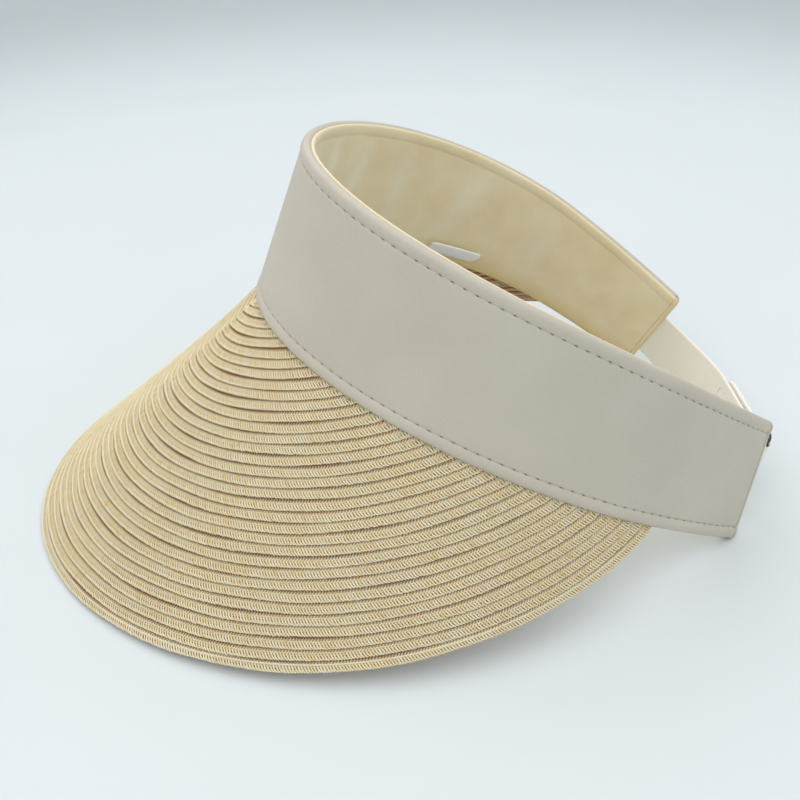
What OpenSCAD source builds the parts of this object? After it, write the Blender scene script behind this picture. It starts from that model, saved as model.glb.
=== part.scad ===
// Sun visor: a leather band over a stiff core, a straw-braid brim, and a rear strap that
// runs through a metal ring and closes on itself with hook-and-loop.
// Frame: +Z up from the table it rests on, the brim points to -Y, +X is the wearer's left.

/* [Head band] */
// Half length of the head oval along the band's lower edge
oval_half_length = 118; // [114:1:122]
// Half width of the head oval along the band's lower edge
oval_half_width = 77.5; // [75:0.5:80]
// Fullness of the oval: 2 is an ellipse, less is leaner
oval_fullness = 1.8; // [1.7:0.05:2]
// How much wider the oval is in front than behind
oval_egg = 0.17; // [0.14:0.01:0.2]
// Rise of the lower edge at the temples
temple_rise = 12; // [10:1:14]
// Angle from the front round to each end of the band
band_end_angle = 122; // [120:1:124]
// Height of the band in front
band_height = 55; // [52:1:58]
// How much lower the band would be right behind the head
band_taper = 16.5; // [14:0.5:18]
// Mean inward lean of the band, as a slope
lean_mean = 0.22; // [0.18:0.01:0.26]
// Change of that lean from front to back
lean_front = -0.31; // [-0.35:0.01:-0.27]
// Change of that lean at the temples
lean_temple = -0.05; // [-0.08:0.01:0]
// How far the hat tips back as it rests on its brim and band ends
rest_pitch = 29.5; // [28:0.5:31]

/* [Band layers] */
// Thickness of the outer leather
leather_t = 0.9; // [0.7:0.1:1]
// Thickness of the stiff core, the strap and the brim's tucked edge
middle_t = 1.2; // [1:0.1:1.3]
// Thickness of the lining cloth
lining_t = 0.6; // [0.4:0.1:0.7]

/* [Brim] */
// Reach of the brim in front of the band, measured level
brim_reach = 89; // [84:1:94]
// Half width of the brim's outer edge
brim_half_width = 105; // [102:1:108]
// Fullness of the brim's outline: 2 is an ellipse
brim_fullness = 1.95; // [1.85:0.05:2.1]
// Thickness of the sewn braid
brim_t = 2.2; // [1.8:0.1:2.6]
// Angle from the front round to each end of the brim on the band
brim_end_angle = 98; // [95:1:101]
// How far the braid goes up between leather and lining
tuck_height = 6; // [5:0.5:8]
// Diameter of the wire in the brim's edge
edge_wire_d = 1.2; // [0.8:0.1:1.4]

/* [Stitching] */
// Distance from one stitch to the next
stitch_pitch = 4; // [3:0.5:5]
// Length of thread showing in each stitch
stitch_length = 3.1; // [2:0.1:3.4]
// Diameter of the sewing thread
thread_d = 0.5; // [0.3:0.1:0.7]
// Distance of the upper seam below the band's top edge
top_seam = 4; // [3:0.5:5]
// Distance of the lower seam above the band's bottom edge
bottom_seam = 3.8; // [3:0.1:5]

/* [Strap and ring] */
// Width of the rear strap
strap_w = 22; // [18:1:23]
// Length of the tail folded back outside the strap
tail_length = 34; // [30:1:36]
// Diameter of the ring's wire
ring_wire_d = 2; // [1.8:0.1:2.2]
// Distance between the ring's two long bars
ring_span = 10; // [9.5:0.5:11]
// How far the strap's arrival at the ring turns in towards the head
ring_turn = 5; // [0:1:8]

/* [Size label] */
// Length of the blank label
label_length = 24; // [20:1:30]
// Height of the blank label
label_height = 5; // [4:0.5:8]
// How far the label stands off the lining
label_tilt = 20; // [15:1:25]

/* [Hidden] */
$fn = 48;
leather_colour = [0.74, 0.73, 0.68];
strap_colour = [0.84, 0.82, 0.77];
lining_colour = [0.72, 0.69, 0.56];
straw_colour = [0.83, 0.77, 0.62];
thread_colour = [0.6, 0.58, 0.52];
core_colour = [0.9, 0.9, 0.88];
patch_colour = [0.55, 0.54, 0.5];
label_colour = [0.9, 0.91, 0.9];

fit_gap = 0.1;             // gap between layers sewn face to face
body_gap = 0.4;            // gap between pieces that move past each other
turn_r = 1.3;              // radius of the leather's turn over the band's top edge
lining_fold = 0.5;         // from the band's edges in to the lining's folded edges
seam_margin = 2.6;         // angle from the band's ends to its long seams
end_seam_angle = 1.6;      // angle from the band's ends to the seams down them
wire_inset = 2;            // from the brim's edge in to its wire
clear_seam = 1.2;          // from the leather's edge out to the clear thread on the brim
label_angle = -69;
label_root = 6;            // height of the label's hinge on the lining
label_off = 1.6;           // from the lining to that hinge, so that the label can swing
label_t = 0.7;
bore_gap = 0.08;           // radial gap between the ring's wire and a leather loop
slope_step = 0.05;         // angle used to take a curve's direction
softening = 0.15;          // share of the half size over which an outline is rounded at an axis
band_steps = 96;
brim_steps = 88;
wire_steps = 60;
core_face = leather_t + fit_gap;
core_back = core_face + middle_t;
lining_face = core_back + fit_gap;
lining_back = lining_face + lining_t;
centre_shift = 59.22;      // puts the middle of the visor's box over the origin

// ---- small helpers ----
function unit(v) = v / norm(v);
// A signed power, softened near nought so that outlines stay smooth where they cross an axis
function soft_power(value, exponent) =
    value * pow(value * value + softening * softening, (exponent - 1) / 2);
function mix(a, b, s) = a * (1 - s) + b * s;
function spread(low, high, count) = [for (i = [0:count]) mix(low, high, i / count)];
function flat_list(rows) = [for (row = rows) for (p = row) p];

// A cubic curve from a to b that leaves along leave and arrives along arrive
function curve(a, leave, arrive, b, s) =
    a * pow(1 - s, 3) + (a + leave) * 3 * s * pow(1 - s, 2)
    + (b - arrive) * 3 * s * s * (1 - s) + b * pow(s, 3);

// The two triangles of one four-sided face
function quad(a, b, c, d) = [[a, c, b], [a, d, c]];

// A closed sheet between two grids of points, front (outside) and back
module sheet(front, back) {
    rows = len(front);
    columns = len(front[0]);
    second = rows * columns;
    function f(i, j) = i * columns + j;
    function k(i, j) = second + i * columns + j;
    faces = concat(
        [for (i = [0:rows - 2]) for (j = [0:columns - 2])
            for (face = quad(f(i, j), f(i + 1, j), f(i + 1, j + 1), f(i, j + 1))) face],
        [for (i = [0:rows - 2]) for (j = [0:columns - 2])
            for (face = quad(k(i, j), k(i, j + 1), k(i + 1, j + 1), k(i + 1, j))) face],
        [for (j = [0:columns - 2])
            for (face = quad(f(0, j), f(0, j + 1), k(0, j + 1), k(0, j))) face],
        [for (j = [0:columns - 2])
            for (face = quad(f(rows - 1, j + 1), f(rows - 1, j), k(rows - 1, j), k(rows - 1, j + 1))) face],
        [for (i = [0:rows - 2])
            for (face = quad(f(i + 1, 0), f(i, 0), k(i, 0), k(i + 1, 0))) face],
        [for (i = [0:rows - 2])
            for (face = quad(f(i, columns - 1), f(i + 1, columns - 1), k(i + 1, columns - 1),
                k(i, columns - 1))) face]
    );
    polyhedron(points = concat(flat_list(front), flat_list(back)), faces = faces);
}

// A round bar from p to q
module bar(p, q, d) {
    v = q - p;
    translate(p)
        rotate([0, acos(v.z / norm(v)), atan2(v.y, v.x)])
            cylinder(h = norm(v), d = d);
}

// Stitches between paired points of two lists
module stitches(starts, ends) {
    for (i = [0:len(starts) - 1])
        bar(starts[i], ends[i], thread_d);
}

// ---- shape of the band ----
function oval(t) = [
    oval_half_width * soft_power(sin(t), 2 / oval_fullness) * (1 + oval_egg * cos(t)),
    -oval_half_length * soft_power(cos(t), 2 / oval_fullness),
    temple_rise * pow(sin(t), 2)
];
function oval_out(t) =
    let (d = oval(t + slope_step) - oval(t - slope_step)) unit([d.y, -d.x, 0]);
function lean(t) = lean_mean + lean_front * cos(t) + lean_temple * cos(2 * t);
function rise(t) = unit([0, 0, 1] - lean(t) * oval_out(t));
function skin(t) = unit(oval_out(t) + lean(t) * [0, 0, 1]);
function height(t) = band_height - band_taper * (1 - cos(t)) / 2;

// Tips a point of the upright hat back to how it rests on the table
function tip(p) = [
    p.x,
    p.y * cos(rest_pitch) + p.z * sin(rest_pitch),
    -p.y * sin(rest_pitch) + p.z * cos(rest_pitch)
];
rest_shift = [0, centre_shift, -tip(oval(band_end_angle) - leather_t * skin(band_end_angle)).z];
function settle(p) = tip(p) + rest_shift;

// The point h up the band's face and d in from the outside of the leather
function band_point(t, h, d) = settle(oval(t) + h * rise(t) - d * skin(t));
function band_along(t) =
    unit(band_point(t + slope_step, 0, 0) - band_point(t - slope_step, 0, 0));
function band_rise(t) = unit(band_point(t, 1, 0) - band_point(t, 0, 0));
function band_skin(t) = unit(band_point(t, 0, 0) - band_point(t, 0, 1));

// A plain layer of the band between two depths, from angle t0 to t1
module band_layer(t0, t1, low, below_top, face, back) {
    angles = spread(t0, t1, band_steps);
    sheet(
        [for (t = angles) [for (s = [0, 0.5, 1]) band_point(t, mix(low, height(t) - below_top, s), face)]],
        [for (t = angles) [for (s = [0, 0.5, 1]) band_point(t, mix(low, height(t) - below_top, s), back)]]
    );
}

// ---- shape of the brim ----
join = band_point(brim_end_angle, 0, 0);
front = band_point(0, 0, 0);
brim_front = front.y - brim_reach;
join_angle = 180 - asin(pow(join.x / brim_half_width, brim_fullness / 2));
brim_half_length = (join.y - brim_front) / (1 - soft_power(cos(join_angle), 2 / brim_fullness));
brim_slope = atan2(front.z - brim_t, brim_reach);
edge_lift = brim_t * cos(brim_slope);  // so that the braid's underside just meets the table
last_brim_angle = join_angle - 2;

// A point of the outer edge, and the level direction from there in to the band
function brim_edge(u) = [
    brim_half_width * soft_power(sin(u), 2 / brim_fullness),
    brim_front + brim_half_length * (1 - soft_power(cos(u), 2 / brim_fullness)),
    edge_lift + (join.z - edge_lift) * pow(u / join_angle, 3)
];
function brim_inward(u) =
    let (d = brim_edge(u + slope_step) - brim_edge(u - slope_step)) unit([-d.y, d.x, 0]);

// The band angle where the line in from edge angle u meets the band, by halving
function side_of(u, t) =
    let (v = band_point(t, 0, 0) - brim_edge(u), n = brim_inward(u)) v.x * n.y - v.y * n.x;
function meet(u, low, high, turns) =
    let (middle = (low + high) / 2)
    turns == 0 ? middle
    : side_of(u, middle) > 0 ? meet(u, low, middle, turns - 1)
    : meet(u, middle, high, turns - 1);

// One line of the brim for the wearer's left side: its outer and inner faces
function brim_line(u) =
    let (t = meet(u, -5, brim_end_angle + 5, 18),
        o = brim_edge(u),
        b = band_point(t, -fit_gap, 0),
        along = brim_edge(u + slope_step) - brim_edge(u - slope_step),
        down = brim_t * unit(cross(b - o, along)))
    [
        concat([for (s = [0, 0.3, 0.6, 0.85, 1]) mix(o, b, s)],
            [band_point(t, -fit_gap, core_face), band_point(t, tuck_height, core_face)]),
        concat([for (s = [0, 0.3, 0.6, 0.85, 1]) mix(o, b, s) + down],
            [band_point(t, -fit_gap, core_back), band_point(t, tuck_height, core_back)])
    ];
function mirror_x(points) = [for (p = points) [-p.x, p.y, p.z]];
function brim_side(u, face) = u < 0 ? mirror_x(brim_line(-u)[face]) : brim_line(u)[face];

// ---- shape of the strap and its closure ----
bar_r = ring_wire_d / 2;
bore_r = bar_r + bore_gap;
strap_face = bore_r;                    // the strap's outer face, inside the bar's centre
tail_outer_r = bore_r + middle_t;
tab_t = middle_t / 2;
tab_outer_r = bore_r + tab_t;
tab_w = strap_w - 1;
ring_inner_w = strap_w + 2;
anchor_angle = 8;                       // how far strap and tab go into the band's ends
anchor_height_right = 20;
anchor_height_left = 22.5;
closure_lean = 20;                      // lean of the strap's width behind the head
bar_inset = 6.5;                        // from the band's left end across to the ring's first bar
bar_standoff = 3.5;                     // and outward
straight_length = 32;                   // straight part of the strap below the tail
patch_t = 0.9;
patch_length = 24;
patch_w = strap_w - 4;
patch_start = 7;                        // from the ring's bar to each patch
seam_inset = 3;                         // of the strap's seams from its edges
anchor_seams = [4, 6.5];                // the two rows through strap or tab, in from the band's end
bend_run = 52;                          // run of the strap's curved part that carries stitches
tail_root = 4;                          // length of the tail that turns with its loop
tail_corner = 5;                        // radius of the tail's corners

left_end = band_point(band_end_angle, anchor_height_left, (core_face + core_back) / 2);
lean_out = [0, cos(closure_lean), -sin(closure_lean)];
inner_bar = left_end + [-bar_inset, 0, 0] + bar_standoff * lean_out;
strap_dir = cos(ring_turn) * [1, 0, 0] - sin(ring_turn) * lean_out;
strap_out = sin(ring_turn) * [1, 0, 0] + cos(ring_turn) * lean_out;
strap_up = [0, sin(closure_lean), cos(closure_lean)];
outer_bar = inner_bar - ring_span * strap_dir;

// Closure frame at the outer bar: x along the strap towards the ring, y outward, z across
function closure_point(x, y, z) = outer_bar + x * strap_dir + y * strap_out + z * strap_up;
module at_outer_bar() {
    translate(outer_bar)
        rotate([-closure_lean, 0, 0])
            rotate([0, 0, -ring_turn])
                children();
}

// One cross line of the strap: path position s from 0 at the band's right end to 1 where
// the straight part begins, z across the width, y out from the bar's centre
function strap_bend(s, z, y) =
    let (t = -band_end_angle,
        depth = mix(core_face, core_back, (-strap_face - y) / middle_t),
        a = band_point(t, anchor_height_right + z, depth),
        b = closure_point(-straight_length, y, z))
    curve(a, -6 * band_along(t), 10 * strap_dir, b, s);
function strap_line(y) =
    let (depth = mix(core_face, core_back, (-strap_face - y) / middle_t),
        across = spread(-strap_w / 2, strap_w / 2, 2))
    concat(
        [for (t = spread(-band_end_angle + anchor_angle, -band_end_angle, 3))
            [for (z = across) band_point(t, anchor_height_right + z, depth)]],
        [for (s = spread(1 / 14, 1, 13)) [for (z = across) strap_bend(s, z, y)]],
        [for (x = spread(-straight_length * 0.75, -tail_outer_r - body_gap, 3))
            [for (z = across) closure_point(x, y, z)]]
    );

// ---- sub-parts of the band ----
// The leather's turn over the core at the band's top edge, for its face (r = turn_r) or back:
// pairs of height from the top and depth
function turn_profile(r) = concat(
    [for (a = [0, 45, 90]) [-turn_r + r * sin(a), turn_r - r * cos(a)]],
    [[-turn_r + r, core_back]]
);
module band_leather() {
    angles = spread(-band_end_angle, band_end_angle, band_steps);
    function face(depth) = [for (t = angles) concat(
        [band_point(t, 0, depth)],
        [for (p = turn_profile(turn_r - depth)) band_point(t, height(t) + p[0], p[1])])];
    color(leather_colour)
        sheet(face(0), face(leather_t));
}

module band_core() {
    inset = anchor_angle + 1;
    color(core_colour)
        band_layer(-band_end_angle + inset, band_end_angle - inset, tuck_height + 0.5, 1.5,
            core_face, core_back);
}

module band_lining() {
    color(lining_colour)
        band_layer(-band_end_angle, band_end_angle, lining_fold, lining_fold, lining_face, lining_back);
}

// Angles one stitch apart along the band at height h
function stitch_angles(h0, from_top, first, last) = [
    for (t = first; t < last;
        t = t + stitch_pitch / norm(
            band_point(t + 1, h0 + from_top * height(t), 0) - band_point(t, h0 + from_top * height(t), 0)))
        t
];
module band_seam(h0, from_top) {
    angles = stitch_angles(h0, from_top, -band_end_angle + seam_margin, band_end_angle - seam_margin);
    share = stitch_length / stitch_pitch;
    function at(t) = band_point(t, h0 + from_top * height(t), 0);
    color(thread_colour)
        stitches([for (i = [0:len(angles) - 2]) at(angles[i])],
            [for (i = [0:len(angles) - 2]) at(mix(angles[i], angles[i + 1], share))]);
}
module band_top_stitching() {
    band_seam(-top_seam, 1);
}
module band_bottom_stitching() {
    band_seam(bottom_seam, 0);
}
module end_seam(t) {
    top = height(t) - top_seam - 1;
    heights = [for (h = bottom_seam + 1; h + stitch_length < top; h = h + stitch_pitch) h];
    color(thread_colour)
        stitches([for (h = heights) band_point(t, h, 0)],
            [for (h = heights) band_point(t, h + stitch_length, 0)]);
}
module band_left_end_stitching() {
    end_seam(band_end_angle - end_seam_angle);
}
module band_right_end_stitching() {
    end_seam(-band_end_angle + end_seam_angle);
}

// ---- sub-parts of the brim ----
module brim_braid() {
    angles = spread(-last_brim_angle, last_brim_angle, brim_steps);
    color(straw_colour)
        sheet([for (u = angles) brim_side(u, 0)], [for (u = angles) brim_side(u, 1)]);
}

// Inside the outer row of braid, half way through its thickness
function wire_centre(u) =
    let (face = brim_side(u, 0), back = brim_side(u, 1))
    (face[0] + back[0]) / 2 + wire_inset * unit(face[1] - face[0]);
module brim_edge_wire() {
    angles = spread(-last_brim_angle + 4, last_brim_angle - 4, wire_steps);
    centres = [for (u = angles) wire_centre(u)];
    sides = 8;
    last = len(centres) - 1;
    rings = [for (i = [0:last])
        let (d = unit(centres[min(i + 1, last)] - centres[max(i - 1, 0)]),
            a = unit(cross(d, [0, 0, 1])),
            b = cross(d, a))
        [for (j = [0:sides - 1])
            centres[i] + edge_wire_d / 2 * (a * cos(360 * j / sides) + b * sin(360 * j / sides))]];
    walls = [for (i = [0:last - 1]) for (j = [0:sides - 1])
        let (next = (j + 1) % sides)
        for (face = quad(i * sides + j, i * sides + next, (i + 1) * sides + next, (i + 1) * sides + j))
            face];
    ends = [[for (j = [0:sides - 1]) j], [for (j = [0:sides - 1]) last * sides + sides - 1 - j]];
    color("silver")
        polyhedron(points = flat_list(rings), faces = concat(walls, ends));
}

// Clear thread that shows just below the leather's edge
module brim_seam_thread() {
    function at(u) = let (line = brim_side(u, 0)) line[4] + clear_seam * unit(line[3] - line[4]);
    angles = [for (u = -last_brim_angle + 6; u < last_brim_angle - 6;
        u = u + stitch_pitch / norm(at(u + 1) - at(u))) u];
    color("white")
        stitches([for (i = [0:len(angles) - 2]) at(angles[i])],
            [for (i = [0:len(angles) - 2]) at(mix(angles[i], angles[i + 1], 0.6))]);
}

// ---- sub-parts of the strap ----
module strap() {
    color(strap_colour)
        sheet(strap_line(-strap_face - middle_t), strap_line(-strap_face));
}

// Stitches along one edge of the strap, on its outer face
function strap_seam_point(x, z) =
    x > -straight_length ? closure_point(x, -strap_face, z)
    : strap_bend(1 - (-straight_length - x) / bend_run, z, -strap_face);
module strap_stitching() {
    first = -straight_length - bend_run + 6;
    places = [for (x = first; x < -tail_outer_r - stitch_pitch; x = x + stitch_pitch) x];
    color(thread_colour)
        for (z = [-1, 1] * (strap_w / 2 - seam_inset))
            stitches([for (x = places) strap_seam_point(x, z)],
                [for (x = places) strap_seam_point(x + stitch_length, z)]);
}

// Two short rows through the band's right end that hold the strap in it
module anchor_rows(t_list, middle_h) {
    heights = [for (i = [0:3]) middle_h - 1.5 * stitch_pitch - stitch_length / 2 + i * stitch_pitch];
    color(thread_colour)
        for (t = t_list)
            stitches([for (h = heights) band_point(t, h, 0)],
                [for (h = heights) band_point(t, h + stitch_length, 0)]);
}
module strap_anchor_stitching() {
    anchor_rows([for (in = anchor_seams) -band_end_angle + in], anchor_height_right);
}
module ring_tab_stitching() {
    anchor_rows([for (in = anchor_seams) band_end_angle - in], anchor_height_left);
}

// A patch between strap and tail, from y0 outward
module patch(y0) {
    at_outer_bar()
        translate([-patch_start - patch_length, y0, -patch_w / 2])
            cube([patch_length, patch_t, patch_w]);
}
module loop_patch() {
    color(patch_colour)
        patch(-strap_face);
}
module hook_patch() {
    color(patch_colour)
        patch(strap_face - patch_t);
}

// Stitches round a patch, level with y in the closure frame
module patch_seam(y) {
    inset = 1.2;
    x0 = -patch_start - patch_length + inset;
    x1 = -patch_start - inset;
    z1 = patch_w / 2 - inset;
    color(thread_colour) {
        for (x = [x0:stitch_pitch:x1 - stitch_length])
            for (z = [-z1, z1])
                bar(closure_point(x, y, z), closure_point(x + stitch_length, y, z), thread_d);
        for (z = [-z1 + 2:stitch_pitch:z1 - stitch_length])
            for (x = [x0, x1])
                bar(closure_point(x, y, z), closure_point(x, y, z + stitch_length), thread_d);
    }
}
module loop_patch_stitching() {
    patch_seam(-strap_face - middle_t);
}
module hook_patch_stitching() {
    patch_seam(strap_face + middle_t);
}

// ---- ring, its tab, and the tail ----
module ring() {
    half = ring_inner_w / 2 + bar_r;
    color("dimgray")
        at_outer_bar() {
            for (x = [0, ring_span]) {
                translate([x, 0, -half])
                    cylinder(h = 2 * half, r = bar_r);
                for (z = [-half, half])
                    translate([x, 0, z])
                        sphere(r = bar_r);
            }
            for (z = [-half, half])
                translate([0, 0, z])
                    rotate([0, 90, 0])
                        cylinder(h = ring_span, r = bar_r);
        }
}

// From inside the band's left end round to the ring's first bar
function tab_bend(s, z, outward) =
    let (t = band_end_angle,
        depth = mix(core_face, core_face + tab_t, outward ? 0 : 1) + (core_back - core_face - tab_t) / 2,
        a = band_point(t, anchor_height_left + z, depth),
        b = closure_point(ring_span, outward ? tab_outer_r - 0.1 : bore_r + 0.02, z))
    curve(a, 3 * band_along(t), -2 * strap_dir, b, s);
function tab_line(outward) =
    let (across = spread(-tab_w / 2, tab_w / 2, 2),
        depth = (core_back + core_face - tab_t) / 2 + (outward ? 0 : tab_t))
    concat(
        [for (t = spread(band_end_angle - anchor_angle, band_end_angle, 3))
            [for (z = across) band_point(t, anchor_height_left + z, depth)]],
        [for (s = spread(0.1, 1, 9)) [for (z = across) tab_bend(s, z, outward)]]
    );
module ring_tab() {
    color(strap_colour)
        difference() {
            union() {
                sheet(tab_line(true), tab_line(false));
                at_outer_bar()
                    translate([ring_span, 0, -tab_w / 2])
                        cylinder(h = tab_w, r = tab_outer_r);
            }
            at_outer_bar()
                translate([ring_span, 0, -tab_w])
                    cylinder(h = 2 * tab_w, r = bore_r);
        }
}

// The strap's turn round the outer bar, with the root of the tail
module tail_loop() {
    color(strap_colour)
        at_outer_bar()
            difference() {
                union() {
                    translate([0, 0, -strap_w / 2])
                        cylinder(h = strap_w, r = tail_outer_r);
                    translate([-tail_root, bore_r, -strap_w / 2])
                        cube([tail_root, middle_t, strap_w]);
                }
                translate([0, 0, -strap_w])
                    cylinder(h = 2 * strap_w, r = bore_r);
            }
}

// The tail, with a rounded end
module strap_tail() {
    start = -tail_root - body_gap;
    color(strap_colour)
        at_outer_bar()
            translate([0, bore_r + middle_t, 0])
                rotate([90, 0, 0])
                    linear_extrude(middle_t)
                        union() {
                            translate([-tail_length + tail_corner, -strap_w / 2])
                                square([tail_length - tail_corner + start, strap_w]);
                            translate([-tail_length, -strap_w / 2 + tail_corner])
                                square([tail_corner, strap_w - 2 * tail_corner]);
                            for (z = [-1, 1] * (strap_w / 2 - tail_corner))
                                translate([-tail_length + tail_corner, z])
                                    circle(r = tail_corner);
                        }
}
module tail_stitching() {
    y = bore_r + middle_t;
    x0 = -tail_length + tail_corner + 1;
    x_end = -tail_length + 2;
    x1 = -tail_root - 1;
    z1 = strap_w / 2 - seam_inset + 1;
    color(thread_colour) {
        for (x = [x0:stitch_pitch:x1 - stitch_length])
            for (z = [-z1, z1])
                bar(closure_point(x, y, z), closure_point(x + stitch_length, y, z), thread_d);
        for (z = [-1.5 * stitch_pitch, -0.5 * stitch_pitch, 0.5 * stitch_pitch])
            bar(closure_point(x_end, y, z), closure_point(x_end, y, z + stitch_length), thread_d);
    }
}

// ---- blank label, hinged along its sewn edge ----
module size_label() {
    along = band_along(label_angle);
    out = band_skin(label_angle);
    up = band_rise(label_angle);
    stand = cos(label_tilt) * up - sin(label_tilt) * out;
    face = -cos(label_tilt) * out - sin(label_tilt) * up;
    place = band_point(label_angle, label_root, lining_back + label_off);
    corner = place - along * label_length / 2;
    color(label_colour)
        multmatrix([
            [along.x, face.x, stand.x, corner.x],
            [along.y, face.y, stand.y, corner.y],
            [along.z, face.z, stand.z, corner.z],
            [0, 0, 0, 1]
        ])
            cube([label_length, label_t, label_height]);
}

band_leather();
band_core();
band_lining();
band_top_stitching();
band_bottom_stitching();
band_left_end_stitching();
band_right_end_stitching();
brim_braid();
brim_edge_wire();
brim_seam_thread();
strap();
strap_stitching();
strap_anchor_stitching();
loop_patch();
loop_patch_stitching();
ring_tab();
ring_tab_stitching();
ring();
tail_loop();
strap_tail();
tail_stitching();
hook_patch();
hook_patch_stitching();
size_label();
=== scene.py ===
"""The looks of a leather and straw sun visor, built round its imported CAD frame.

Shapes are worked out in millimetres in the frame's own axes (+Z up, the brim points to -Y,
+X is the wearer's left) and scaled to metres as each mesh is made.
"""

import math

import bpy
import numpy as np
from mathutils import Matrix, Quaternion, Vector


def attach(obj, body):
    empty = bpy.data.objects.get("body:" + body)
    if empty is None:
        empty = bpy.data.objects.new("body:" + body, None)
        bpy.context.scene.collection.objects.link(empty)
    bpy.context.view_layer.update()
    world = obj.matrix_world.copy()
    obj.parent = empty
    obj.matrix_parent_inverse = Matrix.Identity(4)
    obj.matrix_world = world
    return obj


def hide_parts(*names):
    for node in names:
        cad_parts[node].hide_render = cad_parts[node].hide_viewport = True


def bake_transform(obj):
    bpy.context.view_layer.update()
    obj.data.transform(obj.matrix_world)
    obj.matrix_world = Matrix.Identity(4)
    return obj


MM = 0.001
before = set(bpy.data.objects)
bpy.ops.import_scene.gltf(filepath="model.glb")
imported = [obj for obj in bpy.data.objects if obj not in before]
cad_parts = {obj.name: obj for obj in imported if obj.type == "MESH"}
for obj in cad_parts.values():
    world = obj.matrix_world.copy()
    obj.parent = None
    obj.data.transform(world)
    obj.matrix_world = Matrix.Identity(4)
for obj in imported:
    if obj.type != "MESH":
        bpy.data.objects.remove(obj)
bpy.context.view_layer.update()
rng = np.random.default_rng(7)

# ---- the driving sizes, the same as the CAD part's, in millimetres and degrees ----
OVAL_HALF_LENGTH = 118.0
OVAL_HALF_WIDTH = 77.5
OVAL_FULLNESS = 1.8  # 2 is an ellipse, more is squarer
OVAL_EGG = 0.17  # how much wider the front half is than the back
TEMPLE_RISE = 12.0
BAND_END = 122.0  # angle from the front to each end of the band
BAND_HEIGHT = 55.0
BAND_TAPER = 16.5  # how much lower it is at the very back
LEAN = (0.22, -0.31, -0.05)  # slope of the band's face: its mean, once round and twice round
REST_PITCH = 29.5  # how far the visor is tipped back where it stands
SOFTENING = 0.15  # rounds the ovals where they cross their axes
CORE_FACE = 1.0  # depths in from the outside of the leather
CORE_BACK = 2.2
LINING_BACK = 2.9
BRIM_REACH = 89.0
BRIM_HALF_WIDTH = 105.0
BRIM_FULLNESS = 1.95
BRIM_THICKNESS = 2.2
BRIM_END = 98.0  # band angle where the brim's outer edge meets the band
CENTRE_SHIFT = 59.22
STITCH_PITCH = 4.0
TOP_SEAM = 4.0  # distances in from the band's top and bottom edges
BOTTOM_SEAM = 3.8
SEAM_MARGIN = 3.4  # from the band's end to the first needle hole

STRAP_WIDTH = 22.0
STRAP_THICKNESS = 1.2
TAIL_LENGTH = 34.0
STRAIGHT_LENGTH = 32.0  # the straight part of the strap, up to the ring
BEND_RUN = 47.0  # the strap's bend, from there to the band
INSIDE_RUN = 15.0  # the strap's end inside the band
RING_SPAN = 10.0
RING_TURN = 5.0
RING_WIRE = 1.0  # radius of the ring's wire
BORE = 1.08  # radius of a leather loop round that wire
CLOSURE_LEAN = 20.0
ANCHOR_ANGLE = 8.0
ANCHOR_RIGHT = 20.0
ANCHOR_LEFT = 22.5
BAR_INSET = 6.5
BAR_STANDOFF = 3.5
TAB_WIDTH = 21.0
TAB_THICKNESS = 0.6

LABEL_ANGLE = -69.0
LABEL_ROOT = 6.0
LABEL_LENGTH = 24.0
LABEL_HEIGHT = 5.0
LABEL_TILT = 20.0

UP = np.array([0.0, 0.0, 1.0])


# ---- small helpers ----
def sin(degrees):
    return np.sin(np.radians(degrees))


def cos(degrees):
    return np.cos(np.radians(degrees))


def unit(v):
    return v / np.linalg.norm(v, axis=-1, keepdims=True)


def point(x, y, z):
    """One array of points from three arrays of coordinates."""
    return np.stack(np.broadcast_arrays(x, y, z), axis=-1).astype(float)


def scaled(direction, amount):
    """direction times a number for each point."""
    return direction * np.asarray(amount, float)[..., None]


def distances(points):
    """How far each point of a line is from its first, measured along it."""
    steps = np.linalg.norm(np.diff(points, axis=0), axis=1)
    return np.concatenate([[0], np.cumsum(steps)])


def mix(a, b, share):
    return a + (b - a) * share


def smoothstep(low, high, x):
    s = np.clip((x - low) / (high - low), 0, 1)
    return s * s * (3 - 2 * s)


def soft_power(value, exponent):
    """value to a power, keeping its sign and a finite slope at 0."""
    return value * (value ** 2 + SOFTENING ** 2) ** ((exponent - 1) / 2)


def bell(x, width):
    return np.exp(-(x / width) ** 2)


# ---- shape of the band ----
def oval(t):
    """The band's lower edge at the angle t from the front, before the visor is tipped back."""
    return point(
        OVAL_HALF_WIDTH * soft_power(sin(t), 2 / OVAL_FULLNESS) * (1 + OVAL_EGG * cos(t)),
        -OVAL_HALF_LENGTH * soft_power(cos(t), 2 / OVAL_FULLNESS),
        TEMPLE_RISE * sin(t) ** 2,
    )


def upright_axes(t):
    """The outward and upward directions on the leaning band, before the visor is tipped back."""
    step = oval(t + 0.05) - oval(t - 0.05)
    out = unit(point(step[..., 1], -step[..., 0], 0 * step[..., 0]))
    slope = LEAN[0] + LEAN[1] * cos(t) + LEAN[2] * cos(2 * t)
    return unit(out + scaled(UP, slope)), unit(UP - scaled(out, slope))


def tip(p):
    """Tips the upright visor back to the way it stands."""
    x, y, z = p[..., 0], p[..., 1], p[..., 2]
    return point(
        x, y * cos(REST_PITCH) + z * sin(REST_PITCH), -y * sin(REST_PITCH) + z * cos(REST_PITCH)
    )


END_SKIN = upright_axes(BAND_END)[0]
REST_SHIFT = np.array([0, CENTRE_SHIFT, -tip(oval(BAND_END) - 0.9 * END_SKIN)[2]])


def band_height(t):
    return BAND_HEIGHT - BAND_TAPER * (1 - cos(t)) / 2


def band_point(t, h, d):
    """The point h up the band's face and d in from the outside of the leather."""
    t = np.asarray(t, float)
    skin, rise = upright_axes(t)
    return tip(oval(t) + scaled(rise, h) - scaled(skin, d)) + REST_SHIFT


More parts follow.
